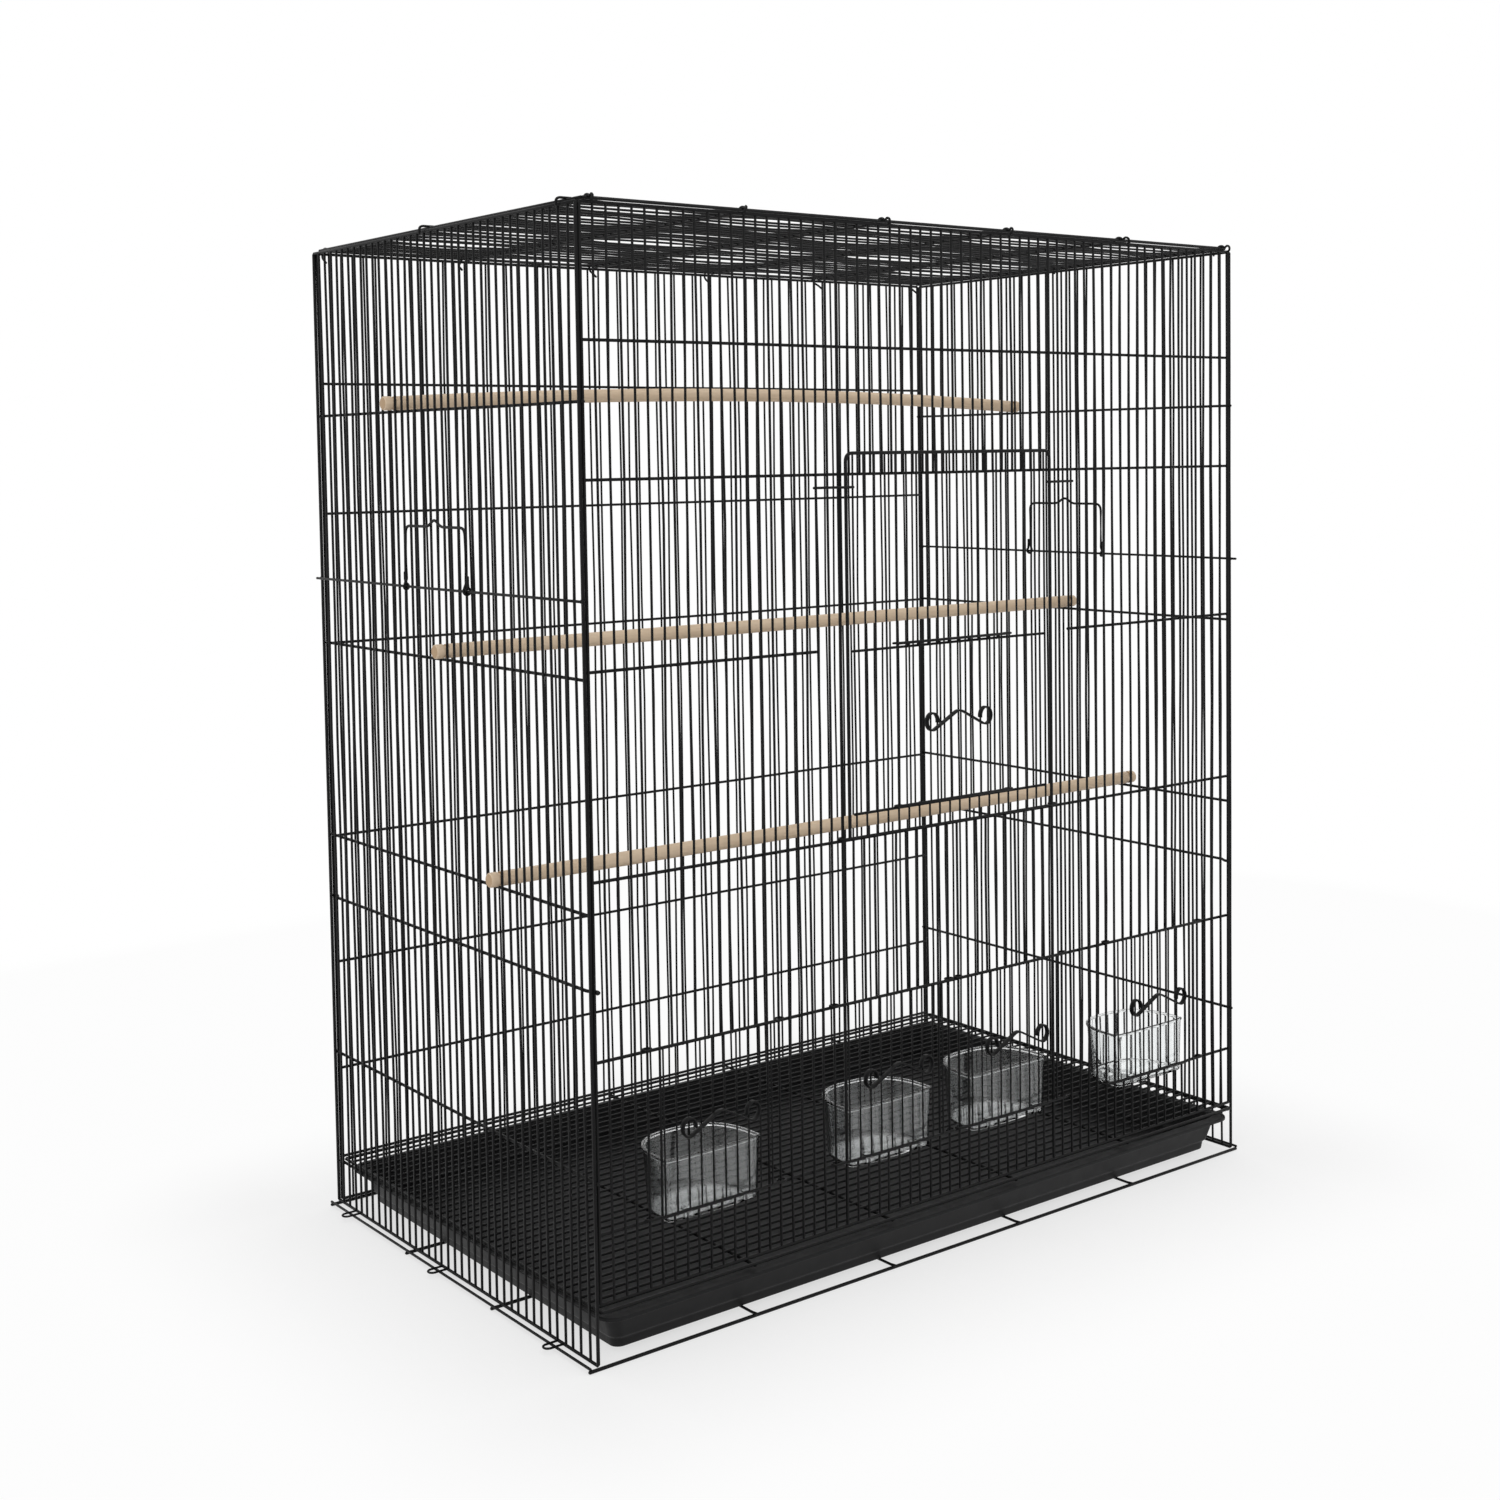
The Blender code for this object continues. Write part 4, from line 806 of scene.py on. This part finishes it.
def makeMainDoor():
    size, half, face = mainDoor, mainDoor["half"], mainDoor["face"]
    low, top, guides = size["low"], size["top"], frontPanel["guides"]
    bent = rounded([(-half, face, low), (-half, face, top), (half, face, top), (half, face, low)], size["corner"], 8)
    parts = [tubes(onPanel(front, *bent.T), wire["edge"], (0, 1, 0), 10)]
    guide, behind = -frontX(guides[0]), wire["edge"] + eye["gap"] + wire["doorRail"]
    end = np.array([(guide + size["eyeStart"], face), (guide + size["eyeTip"], (face + behind) / 2),
                    (guide + size["eyeStart"], behind), (guide - size["eyeEnd"], behind)])
    line = np.concatenate([end[::-1] * (-1, 1), end])
    line = rounded(points(*line.T, low), size["eyeBend"], 5)
    parts.append(tubes(onPanel(front, *line.T), wire["doorRail"]))
    window = size["windowWires"], size["windowLow"], size["windowHigh"]
    index, lows, highs = brokenRuns(range(guides[0] + 1, guides[1]), low, top, [window])
    bow = np.where(np.isin(index, window[0]), wire["leastBow"], size["bow"])
    runs = wireRuns(frontX(index), lows, highs, wire["door"], bow, size["seed"], index)
    parts += uprights(front, runs, face)
    bars = rowsAt(size["barPast"] - frontX(guides[0] + 1), *window[1:])
    parts.append(crossWires(front, bars, face + size["barFace"], size["windowBar"]))
    shifted = dict(front, origin=front["origin"] + face * front["inward"])
    parts += weldBeads(shifted, runs, bars, size["barFace"], size["bead"])
    nodes = [f"main_door_{name}" for name in ("frame", "sill", "upper_grille", "left_grille", "right_grille")]
    makePiece("mainDoor", parts, nodes, "main_door")


makeMainDoor()

innerDoor = {"low": 0.4086, "high": 0.5499, "face": -0.0072, "wireFace": -0.0066, "rail": 0.0013, "seed": 61}

makeLeaf(("innerDoor", "innerDoorPull"), ("inner_door", "inner_door_scroll"), "small_door", innerDoor,
         mainDoor["windowWires"], wire["door"], mainDoor["face"], innerDoor["seed"])

# keeper wires: from the front panel past a guide wire, out over the top corners of the main door

keeper = {
    "height": 0.6852, "foot": 0.024, "nose": 0.011, "radius": 0.0012, "root": -0.00215, "face": -0.0075,
    "stepPlace": 0.005, "stepHalf": 0.002, "bend": 0.0018,
}


def makeKeepers():
    size = keeper
    guide = -frontX(frontPanel["guides"][0])
    near = guide + size["stepPlace"]
    line = np.array([(near + size["foot"], size["root"]), (near + size["stepHalf"], size["root"]),
                     (near - size["stepHalf"], size["face"]), (guide - size["nose"], size["face"])])
    for name, side in (("Left", -1), ("Right", 1)):
        part = bentWire(front, (side * line[:, 0], line[:, 1], size["height"]), size["bend"], size["radius"], steps=4)
        makePiece("doorKeeper" + name, [part], ["door_keeper_" + name.lower()])


makeKeepers()

# clear feeding cups, hung on the sill wire by two tabs

cup = {
    "width": 0.098, "depth": 0.064, "height": 0.052, "floor": 0.0986, "wall": 0.0018, "rim": 0.001,
    "rimHeight": 0.0025, "rimStep": 0.9, "taper": 0.93, "floorRing": 0.006, "sides": 56,
    "bends": (0.0025, 0.0006, 0.0005, 0.0007, 0.0007, 0.003),
    "frontDepth": 0.006, "frontPower": 4.0, "backPower": 2.7, "offset": 0.0016,
    "tabThick": 0.0012, "tabWidth": 0.009, "tabSpread": 0.03, "tabDrop": 0.006, "tabReach": 0.0032,
    "tabClear": 0.0003, "tabRoot": 0.7, "tabBend": 0.001,
}


def cupRing(middle, scale, inset, height):
    # two half superellipses: x = a sign(cos t)|cos t|^(2/n), y = b sign(sin t)|sin t|^(2/n), flatter at the front
    size, shift = cup, cup["frontDepth"]
    half, deep = size["width"] / 2 * scale - inset, size["depth"] * scale - inset
    turn = 2 * np.pi * np.arange(size["sides"]) / size["sides"]
    rear = np.sin(turn) >= 0
    power = 2 / np.where(rear, size["backPower"], size["frontPower"])
    reach = np.where(rear, deep - shift, shift - max(inset, 0.0))
    x, y = (np.sign(wave) * np.abs(wave) ** power for wave in (np.cos(turn), np.sin(turn)))
    return points(middle + half * x, frontY + size["offset"] + (shift + reach * y), size["floor"] + height)


def cupProfile():
    # (scale, inset, height) up the outside, over the rim and down the inside
    size = cup
    top, wall, rim, taper, ring = size["height"], size["wall"], size["rim"], size["taper"], size["floorRing"]
    lip = size["rimHeight"]
    profile = [(taper, ring, 0.0), (taper, 0.0, 0.0), (1.0, rim, top - lip), (1.0, 0.0, top - lip * size["rimStep"]),
               (1.0, 0.0, top), (1.0, rim + wall, top), (taper, wall, wall), (taper, wall + ring, wall)]
    return rounded(profile, size["bends"])


def makeCups():
    size, thick = cup, cup["tabThick"] / 2
    over = frontPanel["sill"] + wire["rail"] + size["tabClear"] + thick
    lip = size["offset"] - size["tabReach"] - thick
    outline = stripOutline(size["tabWidth"], size["tabThick"])
    for number, (first, last) in enumerate(frontPanel["feeders"], 1):
        middle = (frontX(first) + frontX(last)) / 2
        parts = [skin(np.array([[cupRing(middle, *row) for row in cupProfile()]]))]
        for side in (-1, 1):
            x = middle + side * size["tabSpread"]
            root = size["offset"] + size["wall"] * size["tabRoot"]
            line = np.array([(x, root, over), (x, lip, over), (x, lip, over - size["tabDrop"])])
            parts.append(sweep(rounded(onPanel(front, *line.T), size["tabBend"], 4), outline, (1, 0, 0)))
        makePiece(f"feedingCup{number}", parts, [f"cup_{number}"], f"feeding_cup_{number}", clear, 40)


makeCups()

# perches: dowels on the end panels' cross wires, necked to pass between two uprights

perch = {
    "radius": 0.00625, "head": 0.008, "bow": 0.01, "neckClear": 0.00135, "sides": 24, "clear": 0.0003,
    "places": (("high", 0.7558, 25.5), ("middle", 0.5423, 18.5), ("low", 0.3592, 11.5)),
    "endSize": 0.8, "eased": 0.95, "endCuts": (0.0008, 0.002), "neckCut": 0.0004,
    "waves": ((0.008, 41, 30), (0.006, 97, 0)),  # share of the radius, turn along the dowel, turn with height
    "pith": (0.0, 0.003, 0.002),  # the grain's middle, off the dowel's axis
}


def perchProfile():
    # (place along, radius) from end to end, with a neck in each end panel
    size, radius, cut = perch, perch["radius"], perch["neckCut"]
    clearance, eased = size["neckClear"], size["radius"] * size["eased"]
    outer, inner = halfWidth + clearance, halfWidth - clearance
    end, neck = outer + size["head"], sidePitch / 2 - clearance
    half = [(end, radius * size["endSize"]), (end - size["endCuts"][0], eased), (end - size["endCuts"][1], radius),
            (outer + cut, radius), (outer, eased), (outer - cut, neck), (inner + cut, neck), (inner, eased),
            (inner - cut, radius)]
    middle = [(inner * share, radius) for share in np.linspace(0.9, -0.9, 19)]
    return inner, np.array(half + middle + [(-place, thick) for place, thick in reversed(half)]).T


def makePerches():
    size, radius = perch, perch["radius"]
    inner, (x, radii) = perchProfile()
    turn = 2 * np.pi * np.arange(size["sides"]) / size["sides"]
    for name, height, gap in size["places"]:
        lift = size["bow"] * (1 - np.minimum(np.abs(x) / inner, 1) ** 2) if name == "high" else 0 * x
        share = 1 + sum(most * np.sin(x * along + height * shift) for most, along, shift in size["waves"])
        worn = np.minimum(radii * share, radius)
        place = points(x[:, None], worn[:, None] * np.cos(turn), -worn[:, None] * np.sin(turn))
        centre = points(0 * x, frontY + gap * sidePitch, height + wire["bar"] + size["clear"] + radius + lift)
        part = skin((place + centre[:, None])[None])
        piece = makePiece(name + "Perch", [part], ["perch_" + name], "cage", wood, 40)
        kept = piece.data.attributes.new("woodPlace", "FLOAT_VECTOR", "POINT")
        kept.data.foreach_set("vector", (place + size["pith"]).astype(np.float32).ravel())


makePerches()

# carrying handles, hung on the end panels' outer wires

handle = {
    "radius": 0.00125, "halfGaps": 4.5, "rise": 0.053, "peak": 0.007, "peakWidth": 0.011,
    "bends": (0.008, 0.005, 0.006, 0.005, 0.008), "tail": 0.013, "neck": 0.0065, "legStart": 0.002,
    "turnStart": 80, "turn": 280, "wrap": 0.0026, "wrapGap": 0.00015, "plane": -0.00015,
    "flatTurn": (0.008, 0.024),  # heights over which the ring's first corner turns from across to inward
}


def makeHandles():
    size, plane, neck, rise = handle, handle["plane"], handle["neck"], handle["rise"]
    half, apart = size["halfGaps"] * sidePitch, size["radius"] + size["wrapGap"]
    share = np.linspace(0, 1, 15)
    turn = np.radians(size["turnStart"] - size["turn"] * share)
    wrap = points(half + apart * (1 - 2 * share), size["wrap"] * np.cos(turn), size["wrap"] * np.sin(turn))
    tail = np.array([(half + apart, plane, size["tail"]), (half + apart, plane, neck)])
    leg = half - apart
    side = [(leg, plane, neck + size["legStart"]), (leg, plane, rise), (size["peakWidth"], plane, rise)]
    mirrored = [(-x, y, z) for x, y, z in reversed(side)]
    top = rounded(side + [(0, plane, rise + size["peak"])] + mirrored, size["bends"], 8)
    ends = np.concatenate([tail, wrap, [(leg, plane, neck)]])
    line = np.concatenate([ends, top, ends[::-1] * (-1, 1, 1)])
    start, length = size["flatTurn"]
    turned = np.clip((line[:, 2] - start) / length, 0, 1)[:, None]
    for name, panel in (("left", left), ("right", right)):
        path = onPanel(panel, *(line + (0, endPanel["handleFace"], endPanel["handle"])).T)
        part = tubes(path, size["radius"], (1 - turned) * panel["across"] + turned * panel["inward"], 10)
        makePiece(name + "Handle", [part], ["carry_handle_" + name], "handle_" + name)


makeHandles()
print("pieces ready")

# floor, light and camera

studio = {
    "floorColour": (0.93, 0.93, 0.93, 1), "floorRadius": 9, "floorDrop": 0.0002,
    # near the cage's footprint the floor gets less of the white glow: painted shade around the base, on top of the
    # real shadow
    "footprint": (0.4, 0.24, 10.0), "paintedShadeFade": 0.24, "whiten": (0.66, 0.93), "farEdges": (0.5, 1.2), "ambient": 0.66,
    "lamps": (("softBox", 15.0, 2.4, (0.3, -0.2, 2.9), (0, 0, 0)),
              ("keyLight", 9.0, 1.2, (-1.9, -1.7, 2.2), (52, 0, -48))),  # watts, size, place, turn
}


def seenStraight(tree):
    # 1 for what the camera sees straight, in a gloss or through the cups, 0 for light that bounces
    paths = addNode(tree, "ShaderNodeLightPath").outputs
    seen = math(tree, "MAXIMUM", paths["Is Camera Ray"], paths["Is Glossy Ray"])
    return math(tree, "MAXIMUM", seen, paths["Is Transmission Ray"])


def floorDistance(tree):
    # distance from the cage's footprint: the length of (|x| - a, |y| - b) where these are above nothing
    place = objectPlace(tree)
    for operation in ("ABSOLUTE", "SUBTRACT", "MAXIMUM", "LENGTH"):
        step = addNode(tree, "ShaderNodeVectorMath", {"operation": operation})
        feed(tree, step.inputs, (place, studio["footprint"] if operation == "SUBTRACT" else (0, 0, 0)))
        place = step.outputs["Value" if operation == "LENGTH" else "Vector"]
    return place


def makeGround():
    mesh = bpy.data.meshes.new("studioFloor")
    turn = 2 * np.pi * np.arange(64) / 64
    edge = points(studio["floorRadius"] * np.cos(turn), studio["floorRadius"] * np.sin(turn), -studio["floorDrop"])
    mesh.from_pydata(edge.tolist(), [], [list(range(len(edge)))])
    newObject("studioFloor", mesh)
    material, tree, shader = newMaterial("studioFloor")
    tree.nodes.remove(shader)
    distance = floorDistance(tree)
    shares = []  # whiter away from the cage, and all white further out; the darker floor near the cage is painted shade, and the real shadow shows through it there
    for edges, share in (((0.0, studio["paintedShadeFade"]), studio["whiten"]), (studio["farEdges"], (0.0, 1.0))):
        rise = addNode(tree, "ShaderNodeMapRange", {"interpolation_type": "SMOOTHSTEP"}, Value=distance)
        feed(tree, rise.inputs[1:5], (*edges, *share))
        shares.append(rise.outputs[0])
    far = math(tree, "MAXIMUM", *shares)
    diffuse = addNode(tree, "ShaderNodeBsdfDiffuse", Color=studio["floorColour"])
    # the camera sees this glow as the white floor; less of it near the cage paints shade there
    glow = addNode(tree, "ShaderNodeEmission", Color=(1, 1, 1, 1), Strength=1.0)
    blend = addNode(tree, "ShaderNodeMixShader")
    share = math(tree, "MULTIPLY", far, seenStraight(tree))
    feed(tree, blend.inputs, (share, diffuse.outputs[0], glow.outputs[0]))
    dress(tree, tree.nodes["Material Output"], Surface=blend.outputs[0])
    mesh.materials.append(material)


def makeLight():
    world = bpy.data.worlds.new("studioWorld")
    bpy.context.scene.world = world
    world.use_nodes = True
    tree = world.node_tree
    ambient = studio["ambient"]
    strength = scaled(tree, seenStraight(tree), 1 - ambient, ambient)
    dress(tree, tree.nodes["Background"], Color=(1, 1, 1, 1), Strength=strength)
    for name, power, size, place, turn in studio["lamps"]:
        lamp = bpy.data.lights.new(name, "AREA")
        lamp.energy, lamp.size = power, size
        light = newObject(name, lamp)
        light.location, light.rotation_euler = place, np.radians(turn)


makeGround()
makeLight()

view = {
    "place": (-1.1983, -1.5154, 0.7124), "azimuth": 37.977, "elevation": 3.187, "roll": -0.83, "lens": 47.84,
    "shift": (-0.01905, -0.12213), "sensor": 36.0, "clipEnd": 30.0,
}


def makeCamera():
    azimuth, elevation, roll = np.radians([view["azimuth"], view["elevation"], view["roll"]])
    turn = Matrix.Rotation(-azimuth, 4, "Z") @ Matrix.Rotation(np.pi / 2 - elevation, 4, "X")
    lens = bpy.data.cameras.new("viewCamera")
    lens.lens, lens.sensor_width, lens.clip_end = view["lens"], view["sensor"], view["clipEnd"]
    lens.shift_x, lens.shift_y = view["shift"]
    camera = newObject("viewCamera", lens)
    camera.matrix_world = Matrix.Translation(view["place"]) @ turn @ Matrix.Rotation(roll, 4, "Z")
    bpy.context.scene.camera = camera


makeCamera()
bpy.context.scene.view_settings.view_transform = "Standard"
print("studio ready")
